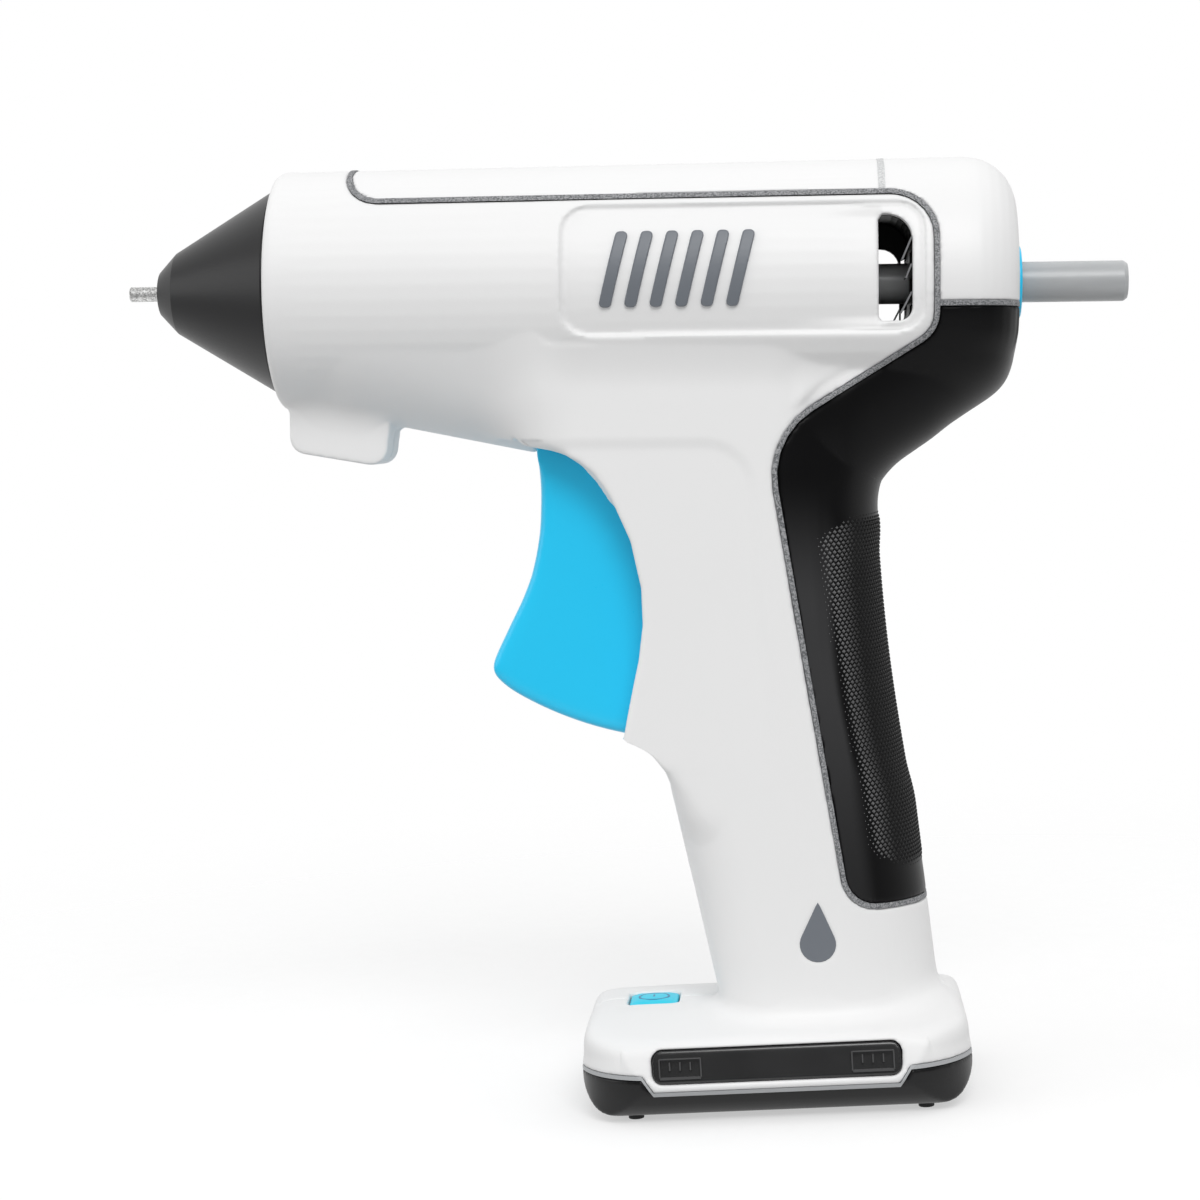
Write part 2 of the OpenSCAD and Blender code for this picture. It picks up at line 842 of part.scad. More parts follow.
module trigger_outline() {
    polygon(concat(
        outline([
            [trigger_back, pivot_z - 40, 0],
            [trigger_back, pivot_z - 18, 6],
            [pivot_x + 3, pivot_z - 6, 0],
            [pivot_x - 1, pivot_z + 4, 0],
            [-37, mouth_top + 3, 0],
            [-42.7, mouth_top + 2.4, 0.8],
            [-41.7, pivot_z - 22, 30],
            [-43.6, pivot_z - 34, 30],
            [-51.9, pivot_z - 51, 2.6],
            [each around_pivot(trigger_reach, -31), 0]
        ]),
        [for (a = [-29 : 3 : -2]) around_pivot(trigger_reach, a)]
    ));
}

module trigger() {
    half = trigger_w / 2;
    color("deepskyblue") leaned() difference() {
        union() {
            slab(-half, half) trigger_outline();
            across(pivot_x, pivot_z, hub_r, -fork_out, fork_out);
            for (y = [fork_y, -fork_out]) slab(y, y + fork_w) {
                translate([pivot_x - 4.4, pivot_z]) square([8.8, pivot_drop + 3.6]);
            }
        }
        // Room for the carriage and the stick between the arms of the fork
        slab(-half, half) translate([pivot_x - 12, pivot_z + hub_r]) square([24, 30]);
        // The slots that the carriage's trunnions ride in
        slab() translate([pivot_x - trunnion_r - 0.2, pivot_z + pivot_drop - 3.6])
            square([2 * trunnion_r + 0.4, 20]);
        // The moulding is hollow from behind
        slab(wall - half, half - wall) intersection() {
            union() {
                offset(delta = -wall) trigger_outline();
                translate([trigger_back - 6.8, pivot_z - 60]) square([20, 34]);
            }
            translate([-60, pivot_z - trigger_reach + wall]) square([60, 40]);
            translate([pivot_x, pivot_z]) circle(trigger_reach - wall);
        }
        across(pivot_x, pivot_z, pin_r + run_gap, -reach, reach);
    }
}

module trigger_pin() {
    color("silver") leaned() across(pivot_x, pivot_z, pin_r, -fork_out - 4.5, fork_out + 4.5);
}

module glue_stick() {
    color([0.62, 0.63, 0.65]) leaned() along_axis(stick_front) cylinder(h = stick_len, r = stick_r);
}

module web_opening() {
    polygon(outline([
        [liner_x[0] - 1, window_z[1] - web_drop, 0],
        [window_x[1] - web_lip, window_z[1] - web_drop, arch_r],
        [window_x[1] - web_lip, window_z[0], 0],
        [liner_x[0] - 1, window_z[0], 0]
    ]));
}

module window_liner() {
    color([0.06, 0.06, 0.06]) leaned() difference() {
        intersection() {
            translate([liner_x[0], -liner_half, liner_z[0]])
                cube([liner_x[1] - liner_x[0], 2 * liner_half, liner_z[1] - liner_z[0]]);
            barrel(skin + wall + seat_gap);
        }
        // The far wall of the tunnel keeps a web with a smaller, arched opening
        slab(-reach, web_y[0]) window_outline(0.05);
        slab(web_y[0] - 1, web_y[1] + 1) web_opening();
        slab(web_y[1], reach) window_outline(0.05);
        along_axis(liner_x[0] - 1) cylinder(h = 30, r = stick_r + free_gap);
        // Slanting ribs stand between grooves on the liner's back wall
        for (side = [-1, 1]) slab(side > 0 ? 8 : -20, side > 0 ? 20 : -8) intersection() {
            translate([window_x[1] - 1, window_z[0] + 1]) square([3, window_z[1] - window_z[0] - 6]);
            for (i = [0 : 3]) translate([window_x[1] - 1, window_z[0] + 4.6 * i]) rotate(22)
                square([8, 2.4]);
        }
    }
}

// ---- Badges ---------------------------------------------------------------------------

// Plain slanting bars in the recess
module badge_bars() {
    for (i = [0 : 5]) translate([-30.4 + 4.4 * i, axis_z - 4.4]) polygon(outline([
        [0, 0, 0.8], [2.2, 0, 0.8], [5.4, 13.2, 0.8], [3.2, 13.2, 0.8]
    ]));
}

module badge(side) {
    difference() {
        intersection() {
            barrel(recess_depth - badge_t);
            slab(side > 0 ? 0 : -reach, side > 0 ? reach : 0) badge_bars();
        }
        barrel(recess_depth);
    }
}

module left_badge() {
    color("slategray") leaned() badge(-1);
}

module right_badge() {
    color("slategray") leaned() badge(1);
}

// A plain drop, inlaid in the side of the handle
module drop_outline() {
    translate([7, 29.6]) polygon(concat([[0, 7.6]],
        [for (a = [25 : -arc_step : -205]) 3.2 * [cos(a), sin(a)]]));
}

module mark(side) {
    y = handle_r - mark_t;
    slab(side > 0 ? y : -handle_r, side > 0 ? handle_r : -y) drop_outline();
}

module left_mark() {
    color("slategray") leaned() mark(-1);
}

module right_mark() {
    color("slategray") leaned() mark(1);
}

// ---- Electrics ------------------------------------------------------------------------

module battery_cell() {
    color("steelblue") standing() {
        translate([cell_x, 0, cell_z]) cylinder(h = cell_len, r = cell_r);
        translate([cell_x, 0, cell_z + cell_len]) cylinder(h = 1, r = 3);
    }
}

module upper_contact() {
    top = cell_z + cell_len + 1;
    color("gold") standing() {
        translate([cell_x - 4, -4, top]) cube([8, 8, contact_t]);
        translate([cell_x - 4, 4 - contact_t, top]) cube([8, contact_t, 5]);
    }
}

// A cap that sits on the cell's upper end and holds its contact
module cell_holder() {
    foot = cell_z + cell_len - 5;
    color("dimgray") standing() difference() {
        intersection() {
            translate([cell_x, 0, foot]) cylinder(h = 9, r = cell_r + 1.3);
            translate([cell_x - 20, -20, 0]) cube([20 + cell_r - 3.6, 40, 200]);
        }
        translate([cell_x, 0, foot - 1]) cylinder(h = 6, r = cell_r + seat_gap / 2);
        translate([cell_x - 4.5, -4.5, foot]) cube([9, 9, 20]);
    }
}

module lower_contact() {
    color("gold") standing() translate([cell_x, 0, board_top]) cylinder(h = contact_t, r = 6);
}

function lead_path(side) = let (y = side * lead_y, low_y = side * lead_low_y) [
    [-50, y, pivot_z + 9.6], [-40, y, pivot_z + 9.6], [-20, y, pivot_z + 9.6], [-8, y, pivot_z + 8],
    [-2, low_y, pivot_z + 2], [-1.4, low_y, pivot_z - 8], [-2.4, low_y, pivot_z - 30],
    [-2.4, low_y, 72], [-2, low_y, 58], [0.6, low_y, 44], [1.4, low_y, 30], [1.4, low_y, 15]
];

module heater_leads() {
    color("firebrick") leaned() for (side = [-1, 1]) wire(lead_path(side), lead_r, [0, 1, 0]);
}

module circuit_board() {
    color("darkgreen") standing() difference() {
        translate([0, 0, board_z]) linear_extrude(board_t)
            rounded_rect(board_size.x, board_size.y, base_corner - 5);
        for (p = TRAY_SCREWS) translate([p.x, p.y, 0]) cylinder(h = reach, r = tray_boss_r + 0.4);
    }
}

module button_switch() {
    color("black") standing() translate([button_x, 0, board_top]) {
        translate([-switch_size.x / 2, -switch_size.y / 2, 0]) cube(switch_size);
        cylinder(h = switch_size.z + switch_rise, r = 1.6);
    }
}

module status_lamps() {
    color("lightyellow") standing() for (end = [-1, 1], i = [-1 : 1], side = [-1, 1])
        translate([end * (window_len / 2 - 5.6) + i * lamp_pitch, side * (base_w / 2 - 7.4), board_top])
            translate([-lamp_w / 2, -lamp_w / 2, 0]) cube([lamp_w, lamp_w, 2.2]);
}

module charge_socket() {
    color("silver") standing() translate([socket_x, 0, board_top]) difference() {
        translate([0, -socket_size.y / 2, 0]) cube(socket_size);
        translate([0.6, -socket_size.y / 2 + 0.35, 0.35]) cube([10, socket_size.y - 0.7, 2.5]);
    }
}

// ---- Base -----------------------------------------------------------------------------

module status_window(side) {
    difference() {
        intersection() {
            base_block(0.15);
            status_opening(side, 0);
        }
        base_block(0.15 + window_t);
    }
}

module left_status_window() {
    color([0.15, 0.15, 0.15]) standing() status_window(-1);
}

module right_status_window() {
    color([0.15, 0.15, 0.15]) standing() status_window(1);
}

module power_button() {
    foot = switch_top + switch_rise + button_travel + seat_gap;
    color("deepskyblue") standing() {
        intersection() {
            button_well(0);
            translate([0, 0, button_top - 3.4]) linear_extrude(3.4) square(2 * reach, center = true);
        }
        translate([button_x, 0, foot]) cylinder(h = button_top - 1 - foot, r = 1.8);
    }
}

module base_tray() {
    color([0.07, 0.07, 0.07]) standing() difference() {
        union() {
            difference() {
                base_block(0);
                over_seam(band_t);
                base_block(base_wall);
            }
            for (p = TRAY_SCREWS) translate([p.x, p.y, foot_h + 0.5])
                cylinder(h = board_top + 1.4 - foot_h - 0.5, r = tray_boss_r);
            for (x = [-10, 4], side = [-1, 1]) translate([x, side * (base_w / 2 - 10), floor_z - 0.5])
                cylinder(h = board_z - floor_z + 0.5, r = 2);
        }
        for (p = TRAY_SCREWS) translate([p.x, p.y, 0]) {
            cylinder(h = reach, r = screw_r + 0.2);
            cylinder(h = foot_h + 1.6, r = screw_head_r + 0.2);
        }
        translate([socket_x, -socket_size.y / 2 - seat_gap, board_top - seat_gap])
            cube([20, socket_size.y + 2 * seat_gap, socket_size.z + 2 * seat_gap]);
        for (p = FEET) translate([p.x, p.y, 0]) cylinder(h = foot_h + 0.8, r = foot_r);
    }
}

module base_band() {
    color("gray") standing() difference() {
        base_block(0);
        over_seam();
        difference() {
            translate([-60, -60, 0]) cube([120, 120, 40]);
            over_seam(band_t);
        }
        base_block(base_wall);
    }
}

module feet() {
    color([0.1, 0.1, 0.1]) standing() for (p = FEET) {
        translate([p.x, p.y, 0]) cylinder(h = foot_h + 0.8, r = foot_r);
    }
}

module shell_screws() {
    color("silver") leaned() for (p = SHELL_SCREWS) difference() {
        union() {
            across(p.x, p.y, screw_r, -8, screw_seat(p));
            across(p.x, p.y, screw_head_r, screw_seat(p), screw_seat(p) + 1.6);
        }
        across(p.x, p.y, 1, screw_seat(p) + 0.6, screw_seat(p) + 3, $fn = 6);
    }
}

module tray_screws() {
    color("silver") standing() for (p = TRAY_SCREWS) translate([p.x, p.y, 0]) difference() {
        union() {
            translate([0, 0, foot_h + 0.2]) cylinder(h = 1.4, r = screw_head_r);
            translate([0, 0, foot_h + 1.6]) cylinder(h = 9, r = screw_r);
        }
        cylinder(h = foot_h + 1, r = 1, $fn = 6);
    }
}

left_shell();
right_shell();
top_cover();
rear_cap();
left_trim();
right_trim();
rear_grip();
inlet_ring();
nozzle_sleeve();
nozzle();
melt_chamber();
heating_element();
element_clip();
thermal_cutout();
front_support();
rear_support();
inlet_sleeve();
return_spring();
carriage();
gripper();
trigger();
trigger_pin();
glue_stick();
window_liner();
left_badge();
right_badge();
left_mark();
right_mark();
battery_cell();
cell_holder();
upper_contact();
lower_contact();
heater_leads();
circuit_board();
button_switch();
status_lamps();
charge_socket();
left_status_window();
right_status_window();
power_button();
base_tray();
base_band();
feet();
shell_screws();
tray_screws();
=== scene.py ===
import json
import math

import bmesh
import bpy
import numpy as np
from mathutils import Matrix, Vector
from mathutils.bvhtree import BVHTree
from mathutils.kdtree import KDTree


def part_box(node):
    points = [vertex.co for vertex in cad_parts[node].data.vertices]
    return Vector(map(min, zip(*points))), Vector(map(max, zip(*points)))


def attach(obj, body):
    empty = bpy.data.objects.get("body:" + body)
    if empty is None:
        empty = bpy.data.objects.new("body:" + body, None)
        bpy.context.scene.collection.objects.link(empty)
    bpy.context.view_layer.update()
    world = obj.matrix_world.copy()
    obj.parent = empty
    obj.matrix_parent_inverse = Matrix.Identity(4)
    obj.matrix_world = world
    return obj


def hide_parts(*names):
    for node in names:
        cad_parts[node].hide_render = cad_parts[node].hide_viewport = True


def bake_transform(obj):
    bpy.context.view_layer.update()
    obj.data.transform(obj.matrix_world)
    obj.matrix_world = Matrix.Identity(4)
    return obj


# ---- The gun's frame
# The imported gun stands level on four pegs, and its barrel leans back a little, nose up.
# Barrel and handle are drawn in millimetres with the barrel level, and to_gun then leans
# them about the trigger's pin.
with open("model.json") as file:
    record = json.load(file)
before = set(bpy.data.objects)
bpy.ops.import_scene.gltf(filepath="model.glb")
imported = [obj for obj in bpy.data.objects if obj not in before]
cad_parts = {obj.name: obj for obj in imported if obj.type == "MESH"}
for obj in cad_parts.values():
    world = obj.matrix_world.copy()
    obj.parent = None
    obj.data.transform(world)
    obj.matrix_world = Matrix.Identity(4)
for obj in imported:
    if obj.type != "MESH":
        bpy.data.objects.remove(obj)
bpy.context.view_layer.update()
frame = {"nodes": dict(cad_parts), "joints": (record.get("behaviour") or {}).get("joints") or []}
collection = bpy.context.scene.collection

MM = 0.001
joints = {joint["name"]: joint for joint in frame["joints"]}
stick_way = Vector(joints["stick_slide"]["axis"])
lean = math.atan2(-stick_way.z, stick_way.x)
pin_place = Vector(joints["trigger_squeeze"]["pos_m"])
PIN = Vector((-15, 0, 128))
AXIS_Z = 145.8
to_gun = (Matrix.Translation(pin_place) @ Matrix.Rotation(lean, 4, "Y")
          @ Matrix.Scale(MM, 4) @ Matrix.Translation(-PIN))

# ---- White half shells
# Two injection-moulded ABS halves make the barrel, the handle and the base in one form.
# They meet at the middle in a fine parting line and are screwed together from one side.
# Every edge has a small radius, and barrel, belly, handle and tail flow into each other.
# A span is where a change starts and ends, in mm; a band is where it starts, holds and ends.
SHELL_GRAIN, BEND_SPAN = 0.38, (34, 100)
RECESS = [(-36.9, 136.7, 4.5), (26, 136.7, 4.5), (26, 159.2, 4.5), (-36.9, 159.2, 4.5)]
WINDOW_X, BARREL_SKIN = 18, (19.7, 20.3)
RIM_START, RIM_WIDE, RIM_HIGH = 8.9, 2.6, 0.85
RAMP_SPAN, RAMP_EDGE, RAMP_DEEP = (1, 17), (0.6, 2.6), 0.9
PANEL = [(-40, 118.6, 0), (-3.6, 118.6, 9), (-2.4, 95, 30), (0.9, 62, 0)]
PANEL_DEEP, PANEL_EDGE, PANEL_SPAN = 0.35, (-0.5, 2), (56, 90)
BARREL_R, HANDLE_HALF, HANDLE_LEAN, HANDLE_Z = 21.45, 17.4, math.radians(7), 50
HANDLE_FRONT, HANDLE_BACK, HANDLE_BEND = -28.3, 24.9, 9
HANDLE_AT = (HANDLE_FRONT - HANDLE_BEND + HANDLE_BACK) / 2
HANDLE_LONG = (HANDLE_BACK - HANDLE_FRONT + HANDLE_BEND) / 2
BELLY_R, BELLY_AT, BELLY_SLOPE = 16, (-40.14, 131.88), math.radians(11.4)
TAIL_R, TAIL_AT, TAIL_SLOPE = 16, (5.1, 121.9), math.radians(34.3)
SHELL_EDGE = [(0, 100), (0.1, 113.3), (1.3, 117.1), (4.3, 121.5), (8.7, 125.6), (24.1, 135), (26.9, 137)]
MOUTH_EDGE = [(-86, 124), (-75, 122.6), (-41.8, 117.2), (-39, 116.7), (-36.6, 115.9), (-34, 114.1),
              (-31.3, 111), (-28.7, 107), (26, 107)]
TAIL_FLOW, HANDLE_FLOW, BARREL_FLOW, OUT_OF_REACH = 3, 8, 4, 8
NECK_STEP, NECK_ROWS, NECK_FADE, NECK_FLUSH = 0.6, 48, (-86, -74), (112, 119)
NECK_TOP, NECK_RISE, NECK_RISE_SPAN, NECK_SUNK = 136.4, 6, (-46, -38.5), 0.8
BLADE_HALF, WALL = 12.3, 0.6
LIP_SWEEP = [(43, -16.2), (48, -17), (52.8, -17.8), (56.8, -18.6), (60.4, -19.9), (63.4, -22.2),
             (64.9, -25.1), (65.4, -26.4), (65.9, -26.9), (66.5, -26.6)]
LIP_BEND, LIP_BEND_SPAN, LIP_ROWS, LIP_COLUMNS = (7, 1.6), (48, 63), (44, 65.6, 0.45), 36
LIP_REAR, LIP_SUNK, LIP_SUNK_SPAN, LIP_MOUTH = -9, 1.2, (44, 53), 63.4
SWEEP_LOW, SWEEP_REAR = 57, -19.2
TIP_BAND, TIP_REAR, TIP_PASSES = (55, 57, 64, 66.5), (-18, -16), 5
FLANK_BAND, FLANK_REAR, FLANK_SIDE, FLANK_PASSES = (47, 51, 63, 65.5), (-11, -7), (8, 12), 16
FOOT_BAND, LUG_BAND, LIP_BAND = (11, 14, 30, 36), (116.5, 118.5, 127, 131), (46, 52, 62, 66)
LUG_REAR, CREASE_REAR, CREASE_PASSES = (-66, -62), (-14, -8), 280
base_low, base_high = (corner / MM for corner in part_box("base_tray"))
BASE_MID, BASE_HALF = (base_low.x + base_high.x) / 2, (base_high.x - base_low.x) / 2 - 9
EDGE_BAND, EDGE_LONG, EDGE_PASSES = (9.5, 12, 19, 24), 7, 220
KEY_AT, KEY_CLEAR = sum(corner.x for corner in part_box("power_button")) / 2 / MM, (6, 8.5)
PANE_TOP, PANE_SIDE, PANE_HALF, SEAM_SPAN = (15.4, 17), (24, 26), 27, (6, 7.5)


def fit(thing, **settings):
    for name, value in settings.items():
        setattr(thing, name, value)
    return thing


def add(tree, kind, choices=None, **sockets):
    """Adds a node: choices are its settings, sockets its values, hex colours or what feeds it."""
    made = fit(tree.nodes.new("ShaderNode" + kind), **(choices or {}))
    for name, value in sockets.items():
        key = int(name[1:]) if name[0] == "_" else name.replace("_", " ")
        if isinstance(value, bpy.types.Node):
            value = value.outputs[0]
        if isinstance(value, str):
            value = srgb(value)
        if isinstance(value, bpy.types.NodeSocket):
            tree.links.new(value, made.inputs[key])
        else:
            made.inputs[key].default_value = value
    return made


def srgb(code):
    """An sRGB hex colour in linear light."""
    parts = [int(code[i:i + 2], 16) / 255 for i in (1, 3, 5)]
    return [p / 12.92 if p <= 0.04045 else ((p + 0.055) / 1.055) ** 2.4 for p in parts] + [1]


def begin(name, kind="materials", space="Object"):
    """A new material or world without nodes, and the coordinates for its patterns."""
    made = fit(getattr(bpy.data, kind).new(name), use_nodes=True)
    made.node_tree.nodes.clear()
    return made, made.node_tree, add(made.node_tree, "TexCoord").outputs[space]


def coat(tree, **sockets):
    """Gives a material its surface."""
    shader = add(tree, "BsdfPrincipled", **sockets)
    add(tree, "OutputMaterial", Surface=shader)


def noise(tree, spot, size, detail=3, **sockets):
    """A noise in patches of a size in millimetres."""
    return add(tree, "TexNoise", Vector=spot, Scale=1 / (size * MM), Detail=detail, **sockets)


def between(tree, value, low, high, **sockets):
    """A value of 0 to 1 spread from low to high."""
    return add(tree, "MapRange", Value=value, To_Min=low, To_Max=high, **sockets)


def moulded(name, tones, roughness, ior, patch, grit, depth, **surface):
    """A moulded plastic or rubber: its tone drifts in patches, and its skin has a fine grit."""
    material, tree, spot = begin(name)
    drift = noise(tree, spot, patch)
    tone = add(tree, "MixRGB", Fac=drift, Color1=tones[0], Color2=tones[1])
    grain = noise(tree, spot, grit, 2)
    dull = between(tree, grain, roughness - 0.05, roughness + 0.05)
    bumps = add(tree, "Bump", Strength=1, Distance=depth * MM, Height=grain)
    coat(tree, Base_Color=tone, Roughness=dull, Normal=bumps, IOR=ior, **surface)
    return material


def points_of(mesh, what="co"):
    points = np.empty(len(mesh.vertices) * 3)
    mesh.vertices.foreach_get(what, points)
    return points.reshape(-1, 3)


def set_points(piece, points):
    piece.data.vertices.foreach_set("co", points.ravel())
    piece.data.update()


def changed(piece):
    """The piece as its modifiers make it."""
    return piece.evaluated_get(bpy.context.evaluated_depsgraph_get())


def smoothed(piece, passes):
    """Where the piece's points lie after a number of smoothing passes."""
    smooth = fit(piece.modifiers.new("smooth", "SMOOTH"), iterations=passes)
    points = points_of(changed(piece).data)
    piece.modifiers.remove(smooth)
    return points


def settle(piece, smooth=False):
    """Makes what the modifiers give the piece's own mesh."""
    bpy.context.view_layer.update()
    mesh = bpy.data.meshes.new_from_object(changed(piece))
    if smooth:
        mesh.shade_smooth()
    piece.modifiers.clear()
    piece.data = mesh


def cad_faces(node):
    """The faces of a CAD node, with their corners joined."""
    faces = bmesh.new()
    faces.from_mesh(frame["nodes"][node].data)
    bmesh.ops.remove_doubles(faces, verts=faces.verts, dist=1e-6)
    return faces


def linked(name, data):
    made = bpy.data.objects.new(name, data)
    collection.objects.link(made)
    return made


def assembled(name, faces, stand=None, outward=False, smooth=False):
    """A new piece from its faces, moved to where it stands."""
    mesh = bpy.data.meshes.new(name)
    if outward:
        bmesh.ops.recalc_face_normals(faces, faces=faces.faces)
    faces.to_mesh(mesh)
    faces.free()
    if stand:
        mesh.transform(stand)
    if smooth:
        mesh.shade_smooth()
    return linked(name, mesh)


def unbend(points, back=False):
    """Stands the barrel level over the upright base, so that both lie along the grid of quads."""
    start = np.array(pin_place)
    away = points - (0 if back else start)
    height = points[:, 2] + (start[2] if back else 0)
    for _ in range(8 if back else 1):
        angle = lean * ease(height, *(limit * MM for limit in BEND_SPAN)) * (1 if back else -1)
        x = away[:, 0] * np.cos(angle) + away[:, 2] * np.sin(angle)
        z = away[:, 2] * np.cos(angle) - away[:, 0] * np.sin(angle)
        height = z + start[2]
    return np.stack([x, away[:, 1], z], 1) + (start if back else 0)


def cast(node, name, grain, passes, fillers=()):
    """A CAD node and what fills it out as one piece, in even quads with rounded edges."""
    faces = cad_faces(node)
    for filler in fillers:
        faces.from_mesh(filler)
    piece = assembled(name, faces)
    set_points(piece, unbend(points_of(piece.data)))
    fit(piece.modifiers.new("even", "REMESH"), mode="VOXEL", voxel_size=grain * MM)
    settle(piece, smooth=True)
    set_points(piece, unbend(points_of(piece.data), back=True))
    set_points(piece, smoothed(piece, passes))
    return piece


def level(points):
    """The frame's points, in millimetres in the level frame."""
    back = np.array(to_gun.inverted())
    return points @ back[:3, :3].T + back[:3, 3]


def upright(at):
    """The level frame's points, in millimetres in the upright frame."""
    turn = np.array(to_gun)
    return (at @ turn[:3, :3].T + turn[:3, 3]) / MM


def across_seam(move, at, mask):
    """Gives points near the middle plane the move of those beside them, so that the halves meet."""
    depth = np.abs(at[:, 1])
    model = np.nonzero((depth > SEAM_SPAN[0]) & (depth < SEAM_SPAN[1]) & (mask > 0))[0]
    tree = KDTree(len(model))
    for i in model:
        tree.insert((at[i, 0], 0, at[i, 2]), i)
    tree.balance()
    for i in np.nonzero((depth <= SEAM_SPAN[0]) & (mask > 0))[0]:
        move[i] = move[tree.find((at[i, 0], 0, at[i, 2]))[1]] * (1, 0, 1)


def fillet(piece, passes, where, both=False, seam=False):
    """Fills creases: points follow a smoother form where it stands further out."""
    rest = points_of(piece.data)
    at = level(rest)
    move = smoothed(piece, passes) - rest
    if seam:
        across_seam(move, at, where(at))
    lift = (move * points_of(piece.data, "normal")).sum(1)
    share = where(at) * (1 if both else np.clip(lift / (0.04 * MM), 0, 1))
    set_points(piece, rest + move * share[:, None])
    set_points(piece, smoothed(piece, 2))


def ease(value, low, high):
    """0 below low, 1 above high and an even rise between."""
    t = np.clip((value - low) / (high - low), 0, 1)
    return t * t * (3 - 2 * t)


def band(value, spans):
    """1 between the middle two of four values, 0 outside the others and even slopes between."""
    return ease(value, *spans[:2]) * (1 - ease(value, *spans[2:]))


def beside(points, line):
    """How far points in X and Z lie from a line through corners: positive on its right."""
    best = np.full(len(points), 1e9)
    side = np.ones(len(points))
    for a, b in zip(line, line[1:]):
        a, b = np.array(a, float), np.array(b, float)
        along = b - a
        share = np.clip(((points - a) @ along) / (along @ along), 0, 1)
        off = points - (a + share[:, None] * along)
        far = np.hypot(off[:, 0], off[:, 1])
        turn = along[1] * (points[:, 0] - a[0]) - along[0] * (points[:, 1] - a[1])
        side = np.where(far < best, np.sign(turn), side)
        best = np.minimum(best, far)
    return best * side


def rounded(corners, closed=True, fine=6):
    """An outline through corners of (x, z, radius), each rounded with an arc of fine parts."""
    points = []
    count = len(corners)
    for i, (x, z, radius) in enumerate(corners):
        here = Vector((x, z))
        before, after = Vector(corners[i - 1][:2]) - here, Vector(corners[(i + 1) % count][:2]) - here
        if radius <= 0 or (not closed and i in (0, count - 1)):
            points.append(here)
            continue
        half = before.angle(after) / 2
        middle = here + (before.normalized() + after.normalized()).normalized() * radius / math.sin(half)
        start = here + before.normalized() * radius / math.tan(half) - middle
        end = here + after.normalized() * radius / math.tan(half) - middle
        turn = math.atan2(start.x * end.y - start.y * end.x, start.dot(end))
        for k in range(fine + 1):
            points.append(middle + Matrix.Rotation(turn * k / fine, 2) @ start)
    return points


def shell_creases(at):
    """Where the shells' creases are filled: at the base, the lug and the lip."""
    x, y, z = at.T
    lug = band(z, LUG_BAND) * (1 - ease(x, *LUG_REAR))
    lip = band(z, LIP_BAND) * (1 - ease(x, *CREASE_REAR))
    return np.maximum.reduce([band(z, FOOT_BAND), lug, lip])


def base_corners(at):
    """Where the base's upper edges are rounded off: at both ends, clear of the key and the panes."""
    x, y, z = upright(at).T
    ends = ease(np.abs(x - BASE_MID), BASE_HALF - EDGE_LONG, BASE_HALF)
    panes = (1 - ease(z, *PANE_TOP)) * ease(np.abs(y), *PANE_SIDE) * (np.abs(x - BASE_MID) < PANE_HALF)
    return ends * band(z, EDGE_BAND) * ease(np.hypot(x - KEY_AT, y), *KEY_CLEAR) * (1 - panes)


def carve_lip(piece):
    """Draws the lip's underside up to its sweep, and softens it."""
    at = level(points_of(piece.data))
    x, y, z = at.T
    sweep = np.array(LIP_SWEEP)[3:9]
    floor = np.interp(x, sweep[::-1, 1], sweep[::-1, 0])
    at[:, 2] = np.where((z < floor) & (z > SWEEP_LOW) & (x < SWEEP_REAR), floor, z)
    set_points(piece, upright(at) * MM)
    tip = band(z, TIP_BAND) * (1 - ease(x, *TIP_REAR))
    flank = band(z, FLANK_BAND) * (1 - ease(x, *FLANK_REAR)) * ease(np.abs(y), *FLANK_SIDE)
    for passes, near in ((TIP_PASSES, tip), (FLANK_PASSES, flank)):
        points = points_of(piece.data)
        set_points(piece, points + (smoothed(piece, passes) - points) * near[:, None])


def merged(a, b, width):
    """The smaller of two distances, with a soft turn from one to the other."""
    share = np.clip(0.5 + (b - a) / width / 2, 0, 1)
    return a * share + b * (1 - share) - width * share * (1 - share)


def stand_off(x, z):
    """Where points lie across the belly, along the handle's depth and across the tail."""
    belly = (z - BELLY_AT[1]) * math.cos(BELLY_SLOPE) + (x - BELLY_AT[0]) * math.sin(BELLY_SLOPE)
    handle = x + (z - HANDLE_Z) * math.tan(HANDLE_LEAN)
    tail = (z - TAIL_AT[1]) * math.cos(TAIL_SLOPE) - (x - TAIL_AT[0]) * math.sin(TAIL_SLOPE)
    return belly, handle, tail


def neck_depth(x, y, z):
    """How far a point stands off the form in which barrel, belly, handle and tail flow together."""
    off, along, rise = stand_off(x, z)
    barrel = np.hypot(y, z - AXIS_Z) - BARREL_R
    belly = np.hypot(y, off) - BELLY_R + OUT_OF_REACH * ease(along, HANDLE_FRONT - 4, HANDLE_FRONT + 8)
    bend = np.where(along < 0, HANDLE_BEND, HANDLE_HALF)
    across = np.maximum(np.abs(along - HANDLE_AT) - (HANDLE_LONG - bend), 0)
    handle = np.hypot(across, np.maximum(y - (HANDLE_HALF - bend), 0)) - bend
    tail = np.hypot(y, rise) - TAIL_R + OUT_OF_REACH * (1 - ease(x, TAIL_AT[0] - 8, TAIL_AT[0]))
    return merged(merged(barrel, tail, TAIL_FLOW), merged(belly, handle, HANDLE_FLOW), BARREL_FLOW)


